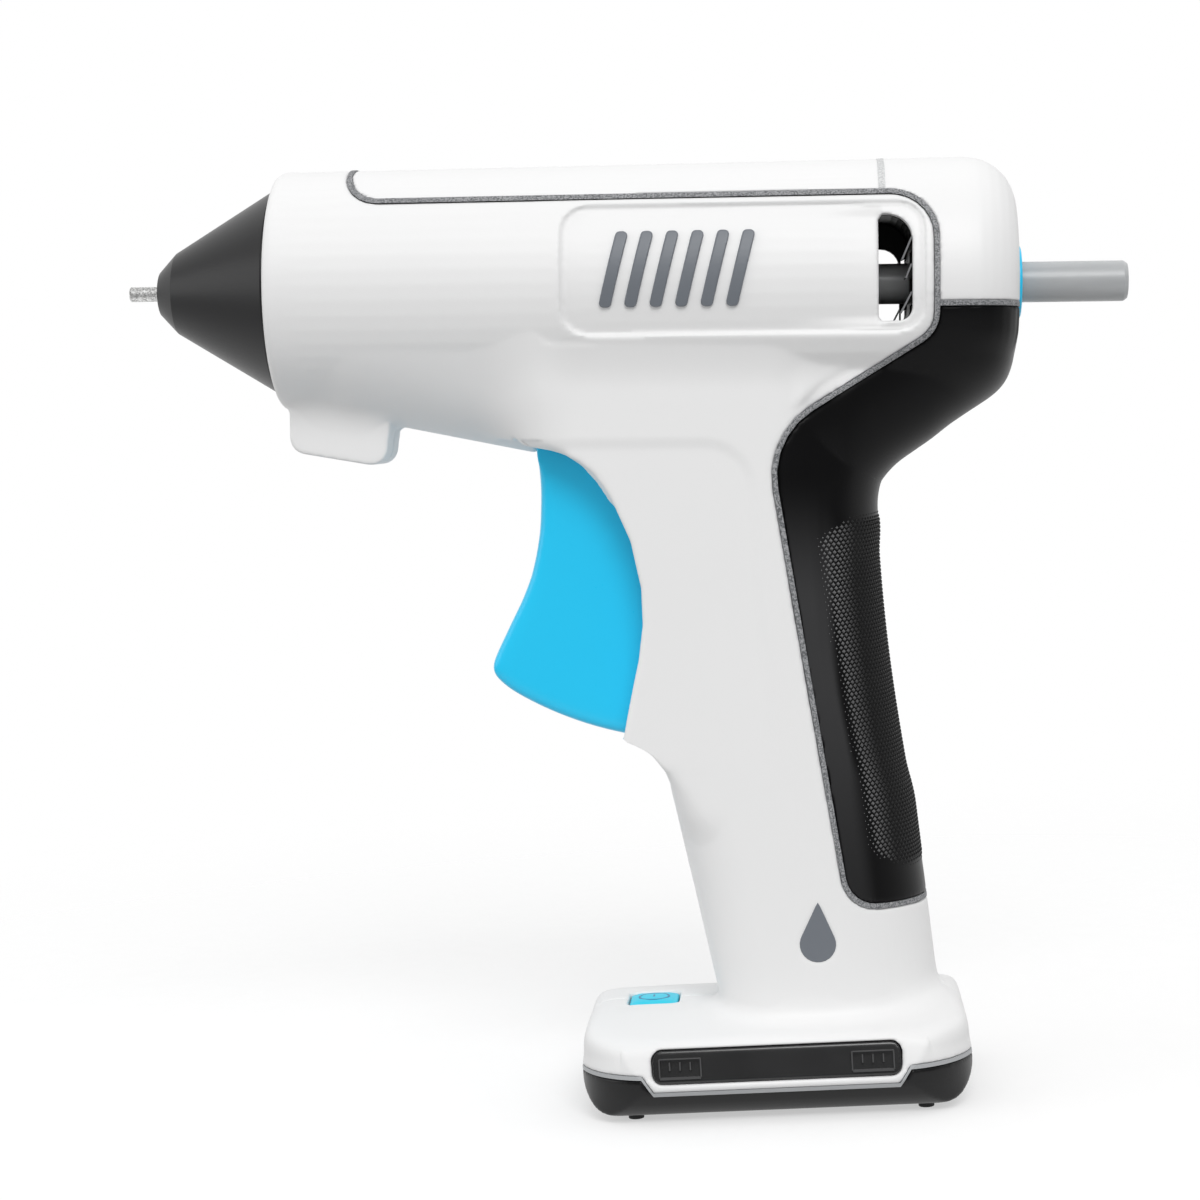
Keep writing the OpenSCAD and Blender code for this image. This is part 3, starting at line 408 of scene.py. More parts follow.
def shell_depth(x, z):
    """The shell's own half width, without the flow of one form into the next."""
    off, along, rise = stand_off(x, z)
    turned_in = np.maximum(along - HANDLE_BACK + HANDLE_HALF, 0)
    halves = []
    for radius, across, held in ((BARREL_R, z - AXIS_Z, True), (BELLY_R, off, True),
                                 (HANDLE_HALF, turned_in, along > HANDLE_FRONT),
                                 (TAIL_R, rise, x > TAIL_AT[0])):
        halves.append(np.sqrt(np.maximum(radius ** 2 - across ** 2, 0)) * held)
    return np.maximum.reduce(halves)


def neck_filler(side):
    """A closed skin that dives into the shell along its border and ends at the mouth's edge."""
    columns = np.arange(MOUTH_EDGE[0][0], MOUTH_EDGE[-1][0], NECK_STEP)
    grid = np.meshgrid(columns, np.linspace(0, 1, NECK_ROWS), indexing="ij")
    x, share = (values.ravel() for values in grid)
    start = np.repeat(np.interp(columns, *np.array(MOUTH_EDGE).T), NECK_ROWS)
    top = NECK_TOP + NECK_RISE * (1 - ease(x, *NECK_RISE_SPAN))
    z = start + (top - start) * share
    low, high = np.zeros(len(x)), np.full(len(x), 24.0)
    for _ in range(20):
        middle = (low + high) / 2
        out = neck_depth(x, middle, z) > 0
        high, low = np.where(out, middle, high), np.where(out, low, middle)
    form = shell_depth(x, z)
    edge = -beside(np.stack([x, z], 1), SHELL_EDGE)
    along = stand_off(x, z)[1]
    flush = ease(along, HANDLE_FRONT, HANDLE_FRONT + 4) * (1 - ease(z, *NECK_FLUSH))
    share = (1 - flush) * (1 - ease(z, top - 1.3, top)) * ease(x, *NECK_FADE) * ease(edge, 0.3, 3)
    outer = form - NECK_SUNK + (low - form + NECK_SUNK) * share
    outer -= NECK_SUNK * (1 - ease(z - start, 0, 1.4)) ** 2
    inner = np.maximum(np.minimum(form, outer) - WALL, 0.4)
    inner = np.where(z < MOUTH_EDGE[2][1] + 1.2, np.maximum(inner, BLADE_HALF), inner)
    return skin(side, x, z, outer, inner, edge > 0.3, (len(columns), NECK_ROWS))


def skin(side, x, z, outer, inner, keep, count):
    """A closed sheet over a grid in X and Z, from its inner to its outer depth."""
    keep = (keep & (outer > inner + 0.2)).reshape(count)
    cells = keep[:-1, :-1] & keep[1:, :-1] & keep[:-1, 1:] & keep[1:, 1:]
    mesh = bmesh.new()
    sheets = [[mesh.verts.new(corner) for corner in zip(x, side * sheet, z)] for sheet in (outer, inner)]
    for i, j in zip(*np.nonzero(cells)):
        near, far = i * count[1] + j, (i + 1) * count[1] + j
        here = [near, far, far + 1, near + 1]
        for sheet in sheets:
            mesh.faces.new([sheet[k] for k in here])
        for k, (a, b) in enumerate(((i, j - 1), (i + 1, j), (i, j + 1), (i - 1, j))):
            inside = 0 <= a < cells.shape[0] and 0 <= b < cells.shape[1] and cells[a, b]
            if not inside:
                p, q = here[k], here[(k + 1) % 4]
                mesh.faces.new((sheets[0][p], sheets[0][q], sheets[1][q], sheets[1][p]))
    bmesh.ops.delete(mesh, geom=[v for v in mesh.verts if not v.link_faces], context="VERTS")
    bmesh.ops.recalc_face_normals(mesh, faces=mesh.faces)
    made = bpy.data.meshes.new("skin")
    mesh.to_mesh(made)
    mesh.free()
    made.transform(to_gun)
    return made


def lip_filler(side):
    """The fairing under the lip, where the handle's front sweeps forward to it."""
    rows = np.arange(*LIP_ROWS)
    sunk = LIP_SUNK * (1 - ease(rows, *LIP_SUNK_SPAN))
    front = np.interp(rows, *np.array(LIP_SWEEP).T) + sunk
    grid = np.meshgrid(rows, np.linspace(0, 1, LIP_COLUMNS) ** 1.6, indexing="ij")
    z, share = (values.ravel() for values in grid)
    start = np.repeat(front, LIP_COLUMNS)
    x = start + (LIP_REAR - start) * share
    bend = LIP_BEND[0] + (LIP_BEND[1] - LIP_BEND[0]) * ease(z, *LIP_BEND_SPAN)
    short = np.clip(bend - (x - start), 0, bend)
    turned_in = bend - np.sqrt(np.maximum(bend ** 2 - short ** 2, 0))
    outer = HANDLE_HALF - 0.05 - turned_in - np.repeat(sunk, LIP_COLUMNS)
    inner = np.where(z > LIP_MOUTH, BLADE_HALF, 0.3)
    return skin(side, x, z, outer, inner, outer > inner, (len(rows), LIP_COLUMNS))


def shell_relief(piece):
    """The soft rim round the window, the ramp down to it, and the soft step in the handle's side."""
    points = points_of(piece.data)
    at = level(points)
    x, y, z = at.T
    plan = at[:, [0, 2]]
    off = beside(plan, [tuple(p) for p in rounded(RECESS)])
    away = np.maximum(np.hypot(y, z - AXIS_Z), 1)
    outside = ease(away, *BARREL_SKIN)
    rim = np.clip(1 - off / RIM_WIDE, 0, 1) ** 2 * ease(x, RIM_START, WINDOW_X) * (off > -0.6) * outside
    ramp = RAMP_DEEP * ease(x, *RAMP_SPAN) * (x < WINDOW_X + 0.4) * ease(-off, *RAMP_EDGE) * outside
    lift = np.maximum(BARREL_R - away, 0) * RIM_HIGH * rim - ramp
    move = np.stack([0 * y, y, z - AXIS_Z], 1) * (lift / away)[:, None]
    step = beside(plan, [tuple(p) for p in rounded(PANEL, closed=False)])
    panel = PANEL_DEEP * ease(step, *PANEL_EDGE) * ease(z, *PANEL_SPAN) * ease(-x, 0, 3)
    move[:, 1] -= panel * (z < 119) * (np.abs(y) > 14) * np.sign(y)
    set_points(piece, points + move @ np.array(to_gun.to_3x3()).T)


# A spark-textured mould leaves ABS evenly white, with one wide soft highlight.
satin_abs = moulded("Satin ABS", ("#e9e9e9", "#ededed"), 0.5, 1.54, patch=60, grit=0.4, depth=0.006)


def paint(mesh, material):
    mesh.materials.clear()
    mesh.materials.append(material)


def place(piece, body, slot, material, *nodes):
    """Gives a finished piece its material and its body, and hides the CAD nodes it stands for; the slot is
    not used.
    """
    paint(piece.data, material)
    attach(piece, body)
    if nodes:
        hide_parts(*nodes)


for name, side in (("left", -1), ("right", 1)):
    shell = cast(f"{name}_shell", f"{name}_half", SHELL_GRAIN, 3, [neck_filler(side), lip_filler(side)])
    fillet(shell, CREASE_PASSES, shell_creases)
    carve_lip(shell)
    fillet(shell, EDGE_PASSES, base_corners, both=True, seam=True)
    shell_relief(shell)
    place(shell, "housing", "shell_white", satin_abs, f"{name}_shell")

# ---- Top cover and rear cap
# Two thin white ABS covers clip on over the shells, with a fine gap between them on top.
# They are a touch glossier than the shells.
COVER_GRAIN = 0.35

# A finer spark finish than the shells' gives the covers a slightly narrower highlight.
cover_abs = moulded("Cover ABS", ("#e9e9e9", "#ededed"), 0.46, 1.54, patch=60, grit=0.4, depth=0.005)

covers = []
for node, name in (("top_cover", "cover_top"), ("rear_cap", "cap_rear")):
    covers.append(cast(node, name, COVER_GRAIN, 2))
    place(covers[-1], "housing", "cover_white", cover_abs, node)

# ---- Trim bands
# A grey elastomer band is moulded into the groove between the shells and the covers.
# Its mould was spark-eroded deeply, which leaves a grit of about 0.3 mm that catches light.
# Behind, a paler strip of it crosses the top in the gap between the two covers.
TRIM_GRIT, TRIM_PROUD, TRIM_ROUND = 0.3, 0.18, 0.12


def granular(name, dark, light, grit):
    """A gritty skin: specks of two greys, each a small bump."""
    material, tree, spot = begin(name)
    specks = noise(tree, spot, grit, Roughness=0.7)
    spread = between(tree, specks, 0, 1, From_Min=0.42, From_Max=0.58)
    tone = add(tree, "MixRGB", Fac=spread, Color1=dark, Color2=light)
    bumps = add(tree, "Bump", Strength=0.8, Distance=0.05 * MM, Height=specks)
    coat(tree, Base_Color=tone, Normal=bumps, Roughness=0.62, IOR=1.5)
    return material


def dress(material, *nodes):
    """Gives CAD nodes that show as they are their own material."""
    for node in nodes:
        paint(frame["nodes"][node].data, material)


def lifted(node, name):
    """A copy of a CAD node that stands a little prouder, with its edges rounded."""
    faces = cad_faces(node)
    bmesh.ops.transform(faces, matrix=to_gun.inverted(), verts=faces.verts)
    for vert in faces.verts:
        vert.co += Vector((0, vert.co.y, max(vert.co.z - AXIS_Z, 0))).normalized() * TRIM_PROUD
    piece = assembled(name, faces, to_gun)
    fit(piece.modifiers.new("edge", "BEVEL"), width=TRIM_ROUND * MM, segments=2, limit_method="ANGLE",
        angle_limit=math.radians(50))
    settle(piece)
    return piece


def join_rings(mesh, rings):
    """Closes a skin round rings of points, and over its two ends."""
    for low, high in zip(rings, rings[1:]):
        for i in range(len(low)):
            j = (i + 1) % len(low)
            mesh.faces.new((low[i], low[j], high[j], high[i]))
    mesh.faces.new(rings[-1])
    mesh.faces.new(reversed(rings[0]))


# Two greys of grit read as a dark speckled line round the white covers.
trim_elastomer = granular("Eroded elastomer", "#55575a", "#a2a3a5", TRIM_GRIT)
for side in ("left", "right"):
    place(lifted(f"{side}_trim", f"trim_{side}"), "housing", "trim_grey", trim_elastomer, f"{side}_trim")

CROSS_X, CROSS_HALF, CROSS_SPAN, CROSS_R, CROSS_STEPS = 18.75, 0.6, math.radians(44), 21.4, 48
CROSS_PROUD, CROSS_SUNK = 0.1 * MM, 1.2 * MM
faces = bmesh.new()
rings = []
skins = [BVHTree.FromObject(cover, bpy.context.evaluated_depsgraph_get()) for cover in covers]
for k in range(CROSS_STEPS + 1):
    angle = CROSS_SPAN + (math.pi - 2 * CROSS_SPAN) * k / CROSS_STEPS
    way = (to_gun.to_3x3() @ Vector((0, math.cos(angle), math.sin(angle)))).normalized()
    feet, tops = [], []
    for across, ground in zip((-CROSS_HALF, CROSS_HALF), skins):
        middle = to_gun @ Vector((CROSS_X + across, 0, AXIS_Z))
        spot = ground.ray_cast(middle + way * 2 * CROSS_R * MM, -way)[0] or middle + way * CROSS_R * MM
        feet.append(faces.verts.new(spot - way * CROSS_SUNK))
        tops.append(faces.verts.new(spot + way * CROSS_PROUD))
    rings.append([feet[0], tops[0], tops[1], feet[1]])
join_rings(faces, rings)
# The same grit in pale greys, so the strip is only a faint line on the white.
pale_elastomer = granular("Pale elastomer", "#b8b9ba", "#dcdddd", TRIM_GRIT)
place(assembled("trim_cross", faces, outward=True), "housing", "trim_grey", pale_elastomer)

# ---- Rear grip
# Black soft elastomer is moulded over the handle's back and the tail, with a satin skin.
# A field of small staggered lozenges, 1 mm apart, covers the part that the palm holds.
GRIP_GRAIN, HANDLE_X, HANDLE_R = 0.35, 7.5, 17.4
LOZENGE_W, LOZENGE_H, LOZENGE_PROUD = 1.0, 0.7, 0.22
FIELD_LOW, FIELD_HIGH, FIELD_EDGE = -10.5, 53.5, (62, 73)
FLOW_SPAN, CORNER_REAR, CORNER_BAND, CORNER_PASSES = (8, 13), (27, 32), (112, 118, 132, 137), 700


def elastomer(name, specular, sheen, grey, spans):
    """A soft black rubber with a painted grey sheen where its normal or its place lies in all the spans."""
    material = moulded(name, ("#070708", "#0c0c0d"), 0.4, 1.5, patch=30, grit=0.35, depth=0.01,
                       Specular_IOR_Level=specular, Sheen_Weight=sheen, Sheen_Roughness=0.3)
    tree = material.node_tree
    shader = next(n for n in tree.nodes if n.bl_idname == "ShaderNodeBsdfPrincipled")
    sources = {"normal": add(tree, "NewGeometry").outputs["True Normal"],
               "place": add(tree, "TexCoord").outputs["Object"]}
    share = 1
    for source, axis, low, high, least in spans:
        parts = add(tree, "SeparateXYZ", Vector=sources[source])
        size = add(tree, "Math", {"operation": "ABSOLUTE"}, _0=parts.outputs[axis])
        held = add(tree, "MapRange", {"interpolation_type": "SMOOTHSTEP"}, Value=size,
                   From_Min=low, From_Max=high, To_Min=least)
        share = add(tree, "Math", {"operation": "MULTIPLY"}, _0=share, _1=held)
    # The grey mixed in here is a painted sheen.
    tone = add(tree, "MixRGB", Fac=share, Color2=grey,
               Color1=shader.inputs["Base Color"].links[0].from_socket)
    tree.links.new(tone.outputs[0], shader.inputs["Base Color"])
    return material


# The rubber is near black with a dull bloom; its flat sides below the tail get a painted dark grey sheen.
soft_black = elastomer("Soft elastomer", 0.12, 0.12, "#3a3a3b",
                       [("normal", "Y", 0.86, 0.95, 0), ("place", "Z", 0.112, 0.088, 0),
                        ("place", "Z", 0.03, 0.08, 0.35)])


def grip_depth(at, width):
    """How far points stand off the handle's back and the tail, which flow together over a width."""
    x, y, z = at.T
    _, along, rise = stand_off(x, z)
    handle = np.hypot((along - HANDLE_X) * math.cos(HANDLE_LEAN), y) - HANDLE_R
    return merged(handle, np.hypot(y, rise) - TAIL_R, width)


def flow(piece):
    """Pushes the grip's outer skin out to where the handle and the tail flow together."""
    rest = points_of(piece.data)
    at = level(rest)
    outer = 1 - ease(np.abs(grip_depth(at, 0.1)), 0.4, 0.8)
    lift = np.clip(-grip_depth(at, 6), 0, 2) * outer * ease(at[:, 0], *FLOW_SPAN) * MM
    set_points(piece, rest + points_of(piece.data, "normal") * lift[:, None])
    set_points(piece, smoothed(piece, 10))


def grip_corner(at):
    """Round the tail's lower rear corner, clear of the trim."""
    return ease(at[:, 0], *CORNER_REAR) * band(at[:, 2], CORNER_BAND)


grip = cast("rear_grip", "grip_rear", GRIP_GRAIN, 3)
flow(grip)
fillet(grip, CORNER_PASSES, grip_corner, both=True)
place(grip, "housing", "grip_rubber", soft_black, "rear_grip")


def lozenge_field(surface):
    """Small closed lozenges on the grip's back, each sunk a little into it."""
    ground = BVHTree.FromObject(surface, bpy.context.evaluated_depsgraph_get())
    to_handle = (to_gun @ Matrix.Translation((0, 0, HANDLE_Z)) @ Matrix.Rotation(-HANDLE_LEAN, 4, "Y")
                 @ Matrix.Translation((HANDLE_X, 0, 0)))
    faces = bmesh.new()
    rows = int((FIELD_HIGH - FIELD_LOW) / LOZENGE_H)
    step = math.degrees(LOZENGE_W / HANDLE_R)
    for row in range(rows):
        share = row / rows
        corner = max(0, abs(share - 0.5) - 0.42) / 0.08
        reach = (FIELD_EDGE[0] + (FIELD_EDGE[1] - FIELD_EDGE[0]) * share) * (1 - 0.45 * corner ** 2)
        count = int(reach / step)
        for column in range(-count, count + 1):
            angle = (column + 0.5 * (row % 2)) * step
            near = min(1, (reach - abs(angle)) / (2.2 * step), (row + 1) / 3, (rows - row) / 3)
            lozenge(faces, ground, to_handle, angle, FIELD_LOW + row * LOZENGE_H, max(near, 0.25))
    faces.normal_update()
    return assembled("grip_field", faces)


def lozenge(mesh, ground, to_handle, angle, height, size):
    """One lozenge at an angle round the handle and a height along it."""
    half_turn = math.degrees(LOZENGE_W / HANDLE_R) * 0.47 * size
    half_rise = LOZENGE_H * 0.56 * size
    rings = []
    for scale, proud in ((1, -0.12), (1, 0.02), (0.42, LOZENGE_PROUD * size)):
        ring = []
        for across, up in ((1, 0), (0, 1), (-1, 0), (0, -1)):
            a = math.radians(angle + across * half_turn * scale)
            start = to_handle @ Vector((0, 0, height + up * half_rise * scale))
            way = (to_handle.to_3x3() @ Vector((math.cos(a), math.sin(a), 0))).normalized()
            spot, normal, _, _ = ground.ray_cast(start + way * HANDLE_R * 1.6 * MM, -way)
            ring.append(mesh.verts.new(spot + normal * proud * MM))
        rings.append(ring)
    join_rings(mesh, rings)


# The lozenges get a painted grey sheen where they face the sides, so the field shows as fine dots.
lozenge_painted_sheen = elastomer("Elastomer painted sheen", 0.2, 0.15, "#767677",
                 [("normal", "Y", 0.66, 0.86, 0), ("place", "Y", 0.0115, 0.0158, 0)])
place(lozenge_field(grip), "housing", "grip_rubber", lozenge_painted_sheen)

# ---- Window liner
# A black polycarbonate moulding lines the window through the barrel, with slanting ribs
# on its rear wall, painted light grey as a highlight along their edges. It drops between the shells before
# they close.
RIB_LINES = [((23.9, 153), (22.2, 149)), ((23.9, 148.4), (22.8, 145.8)), ((23.9, 143.6), (22, 139.9))]
RIB_WIDE, RIB_OUT, RIB_DEEP = 0.32, 15, 4.5

# Smooth black polycarbonate swallows the light, so the window looks deep.
liner_black = moulded("Black polycarbonate", ("#0a0a0b", "#0e0e0f"), 0.4, 1.58, patch=20, grit=0.4,
                      depth=0.006, Specular_IOR_Level=0.25)
# The ribs are painted grey as a highlight on their edges, so they stand out from the dark behind them.
rib_painted_highlight = moulded("Rib painted highlight", ("#6e6f71", "#7c7d7f"), 0.35, 1.58, patch=8, grit=0.3, depth=0.004)
dress(liner_black, "window_liner")


def bar_shape(mesh, corners, depth, stand):
    """A closed bar of the given depth over an outline in X and Z, its front edge chamfered."""
    rings = []
    middle = sum((Vector(c) for c in corners), Vector((0, 0))) / len(corners)
    for out, inset in ((0, 0), (depth * 0.6, 0), (depth, 0.08)):
        ring = []
        for corner in corners:
            at = Vector(corner)
            at -= (at - middle).normalized() * inset
            ring.append(mesh.verts.new(stand @ Vector((at.x, -out, at.y))))
        rings.append(ring)
    join_rings(mesh, rings)


for side, facing in (("left", 1), ("right", -1)):
    faces = bmesh.new()
    aside = to_gun @ Matrix.Scale(facing, 4, (0, 1, 0)) @ Matrix.Translation((0, -RIB_OUT, 0))
    for (x, z), (foot_x, foot_z) in RIB_LINES:
        outline = [(x - RIB_WIDE, z), (foot_x - RIB_WIDE, foot_z), (foot_x, foot_z), (x, z)]
        bar_shape(faces, outline, RIB_DEEP, aside)
    # The ribs' grey is a painted highlight.
    place(assembled(f"ribs_{side}", faces, outward=True), "housing", "liner_black", rib_painted_highlight)

# ---- Badge bars and drops
# Plain slanting bars in the barrel's recess and a plain drop low on the handle, all of
# slate-grey ABS, snapped into pockets in the shells.
BAR_GRAIN, DROP_GRAIN = 0.18, 0.14

# Mass-dyed ABS, matt and even, so the bars and drops stay one grey from every side.
slate_abs = moulded("Slate ABS", ("#686d74", "#70757c"), 0.42, 1.54, patch=12, grit=0.3, depth=0.008)
for side in ("left", "right"):
    for node, name, grain in ((f"{side}_badge", f"bars_{side}", BAR_GRAIN),
                              (f"{side}_mark", f"drop_{side}", DROP_GRAIN)):
        place(cast(node, name, grain, 1), "housing", "badge_grey", slate_abs, node)

# ---- Nozzle cone and tip
# A cone of satin black silicone rubber keeps fingers off the heat; it plugs into the barrel's
# front. The steel tip stands out of it, blasted to a speckled grey.
NOSE_X = -89.4
CONE = [(NOSE_X + x, radius, bend) for x, radius, bend in (
    (4.2, 17.2, 0.2), (2.3, 17.2, 0.2), (2.3, 16.2, 0.2), (0, 16.2, 0.1), (0, 18.5, 0.3), (-0.6, 18.5, 0.3),
    (-19.1, 7.4, 0.7), (-22.4, 3.9, 0.7), (-22.4, 1.45, 0.2), (-20.8, 1.45, 0.1), (-18.5, 5.2, 0.5),
    (-1.4, 15.4, 0.5), (4.2, 13.8, 0.2))]
TURN_SIDES = 96


def turned(name, corners, closed=True):
    """A piece turned about the barrel's axis from its profile of (x, radius, rounding)."""
    faces = bmesh.new()
    rings = []
    for point in rounded(corners, closed):
        if point.y < 1e-6:
            rings.append([faces.verts.new((point.x, 0, AXIS_Z))])
            continue
        rings.append([faces.verts.new((point.x, point.y * math.cos(a), AXIS_Z + point.y * math.sin(a)))
                      for a in (2 * math.pi * k / TURN_SIDES for k in range(TURN_SIDES))])
    for low, high in zip(rings, rings[1:] + rings[:1] if closed else rings[1:]):
        for k in range(TURN_SIDES):
            n = k + 1
            around = [low[k % len(low)], low[n % len(low)], high[n % len(high)], high[k % len(high)]]
            face = list(dict.fromkeys(around))
            if len(face) > 2:
                faces.faces.new(face)
    return assembled(name, faces, to_gun, outward=True, smooth=True)


# Silicone rubber has a satin skin: charcoal, with one wide streak of light along the cone.
silicone = moulded("Satin silicone", ("#1c1c1d", "#232324"), 0.36, 1.43, patch=14, grit=0.35, depth=0.008)
place(turned("cone", CONE), "housing", "cone_rubber", silicone, "nozzle_sleeve")

# Bead blasting leaves pits that sparkle between dark and bright; drawn coarse enough to show.
BLAST_GRIT = 0.35
blasted_steel, tree, spot = begin("Blasted steel")
specks = noise(tree, spot, BLAST_GRIT, 4)
spread = between(tree, specks, 0, 1, From_Min=0.35, From_Max=0.65)
tone = add(tree, "MixRGB", Fac=spread, Color1="#a2a2a1", Color2="#f2f2f1")
dull = between(tree, specks, 0.4, 0.6)
bumps = add(tree, "Bump", Strength=0.7, Distance=0.05 * MM, Height=specks)
coat(tree, Metallic=1, Base_Color=tone, Roughness=dull, Normal=bumps)
dress(blasted_steel, "nozzle")

# ---- Heating
# A cast aluminium melt chamber with a ceramic element clipped on, held in two moulded
# rings; a red silicone sleeve leads the stick in. All of it is closed in by the barrel.
PORES = 0.8

# A cast skin is dull silver, with pores under a millimetre apart.
cast_aluminium, tree, spot = begin("Cast aluminium")
pores = noise(tree, spot, PORES, 5)
dull = between(tree, pores, 0.38, 0.6)
bumps = add(tree, "Bump", Strength=0.5, Distance=0.08 * MM, Height=pores)
coat(tree, Metallic=1, Base_Color="#c3c5c7", Roughness=dull, Normal=bumps)

# Drawing leaves fine lines along the steel, which make it shinier in some than in others.
bright_steel, tree, spot = begin("Drawn steel")
drawn = add(tree, "Mapping", Vector=spot, Scale=(60, 900, 900))
lines = add(tree, "TexNoise", Vector=drawn, Scale=8, Detail=3)
dull = between(tree, lines, 0.22, 0.4)
coat(tree, Metallic=1, Base_Color="#bdbec0", Roughness=dull)

dress(cast_aluminium, "melt_chamber")
dress(bright_steel, "element_clip", "thermal_cutout")
# Fired ceramic is chalky and cream, heat-proof nylon bone and dull, silicone brick red and matt.
for name, tones, roughness, ior, patch, depth, nodes in (
        ("Fired ceramic", ("#d8c5a6", "#e2d2b6"), 0.55, 1.6, 3, 0.02, ["heating_element"]),
        ("Heat-proof nylon", ("#dcd6c2", "#e4dfcd"), 0.5, 1.53, 8, 0.01, ["front_support", "rear_support"]),
        ("Red silicone", ("#a63a26", "#b0432d"), 0.5, 1.43, 6, 0.01, ["inlet_sleeve"])):
    dress(moulded(name, tones, roughness, ior, patch=patch, grit=0.3, depth=depth), *nodes)

# Acetal looks waxy: mid grey, with a soft highlight.
acetal = moulded("Grey acetal", ("#5b5c60", "#636468"), 0.4, 1.48, patch=6, grit=0.3, depth=0.006)
dress(acetal, "carriage")
dress(bright_steel, "gripper", "trigger_pin")

coil = linked("spring_coil", frame["nodes"]["return_spring"].data.copy())
paint(coil.data, bright_steel)
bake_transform(coil)
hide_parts("return_spring")

# ---- Glue stick and inlet ring
# The stick is hot-melt glue, an extruded grey rod that light goes a little way into, cut off
# square with a pressed lip. It slides in through a ring of blue ABS in the tail.
STICK_R, STICK_FRONT, STICK_BACK = 3.6, -37.5, 62.5
STICK = [(STICK_FRONT, 0, 0), (STICK_FRONT, STICK_R - 0.2, 0.2), (STICK_FRONT + 0.4, STICK_R, 0.3)]
STICK += [(STICK_BACK + x, STICK_R + out, bend) for x, out, bend in (
    (-0.7, 0, 0.4), (0, -0.5, 0.3), (0, -1.2, 0.2), (-0.25, -1.5, 0.2), (-0.25, -STICK_R, 0))]
RING = [(30.6, 5.5, 0.2), (40.7, 5.5, 0.1), (40.7, 6.5, 0.1), (43.6, 6.5, 0.45), (43.8, 4.1, 0.4),
        (30.6, 4.1, 0.2)]

# Hot melt is waxy: light goes about a millimetre in, and the drawing leaves faint streaks.
hot_melt, tree, spot = begin("Grey hot melt")
drawn = add(tree, "Mapping", Vector=spot, Scale=(60, 500, 500))
streaks = add(tree, "TexNoise", Vector=drawn, Scale=1, Detail=3)
tone = add(tree, "MixRGB", Fac=streaks, Color1="#a6a8aa", Color2="#bec0c1")
bumps = add(tree, "Bump", Strength=0.3, Distance=0.05 * MM, Height=streaks)
coat(tree, Base_Color=tone, Normal=bumps, Roughness=0.32, IOR=1.5, Subsurface_Weight=0.5,
     Subsurface_Radius=(0.9, 0.9, 0.9), Subsurface_Scale=1.2 * MM)
place(turned("stick", STICK, closed=False), "stick", "stick_grey", hot_melt, "glue_stick")

# ABS from a polished mould: a clear bright blue, with a crisp highlight.
blue_abs = moulded("Blue ABS", ("#12c8f8", "#18ccf9"), 0.3, 1.54, patch=30, grit=0.4, depth=0.006)
place(turned("ring_inlet", RING), "housing", "blue_plastic", blue_abs, "inlet_ring")

# ---- Trigger
# One bright blue ABS moulding, hollow from behind, with a round front that the finger
# pulls. It swings on a steel pin, and its fork pushes the carriage forward.
BLADE_GRAIN, BLADE_TOP, BLADE_PASSES = 0.35, (112, 116), 160


def blade_edge(at):
    """The trigger's outline ahead of and below the pin."""
    return 1 - ease(at[:, 2], *BLADE_TOP)


trigger = cast("trigger", "trigger_blade", BLADE_GRAIN, 3)
fillet(trigger, BLADE_PASSES, blade_edge, both=True)
place(trigger, "trigger", "blue_plastic", blue_abs, "trigger")

# ---- Electrics
# A lithium cell in a blue sleeve stands in the handle on sprung contacts; the board in the
# base carries the switch, the lamps and the charging socket. Red leads run to the heater.
TRACK_GAP, WORN_SPOTS = 4, 0.6

# Shrink film is glossy blue, the leads' silicone matt red, the switch's nylon a matt black, and
# the lamps' resin pale and glossy.
for name, tones, roughness, ior, patch, grit, depth, node in (
        ("Shrink sleeve", ("#2a5a9a", "#3062a4"), 0.3, 1.5, 12, 0.5, 0.01, "battery_cell"),
        ("Lead silicone", ("#a01f1a", "#ab2620"), 0.5, 1.43, 4, 0.3, 0.01, "heater_leads"),
        ("Black nylon", ("#161617", "#1c1c1d"), 0.45, 1.53, 4, 0.3, 0.01, "button_switch"),
        ("Clear resin", ("#efe9c4", "#f6f1d2"), 0.12, 1.5, 2, 0.4, 0.004, "status_lamps")):
    dress(moulded(name, tones, roughness, ior, patch=patch, grit=grit, depth=depth), node)

# Solder mask is a glossy green lacquer, lighter over the copper tracks.
solder_mask, tree, spot = begin("Solder mask")
tracks = add(tree, "TexBrick", Vector=spot, Scale=1 / (TRACK_GAP * MM), Mortar_Size=0.04,
             Color1="#0f4a24", Color2="#11522a", Mortar="#1f7a40")
coat(tree, Base_Color=tracks, Roughness=0.3, IOR=1.5)

# Thin gold plate is warm and bright, and duller where the cell has rubbed it.
gold_plate, tree, spot = begin("Gold plate")
wear = noise(tree, spot, WORN_SPOTS)
dull = between(tree, wear, 0.22, 0.38)
coat(tree, Metallic=1, Base_Color="#d9b25f", Roughness=dull)

dress(acetal, "cell_holder")
dress(gold_plate, "upper_contact", "lower_contact")
dress(solder_mask, "circuit_board")
dress(bright_steel, "charge_socket")

# ---- Base
# A black ABS tray, held by four screws, closes the base and wraps up round both ends; a grey
# band fills the joint. Its long lower edges are rounded off like a hull, so that the four
# rubber pegs show below it.
TRAY_GRAIN, PEG_GRAIN, HULL_SIDE, HULL_TOP = 0.4, 0.14, 19.7, 6.6

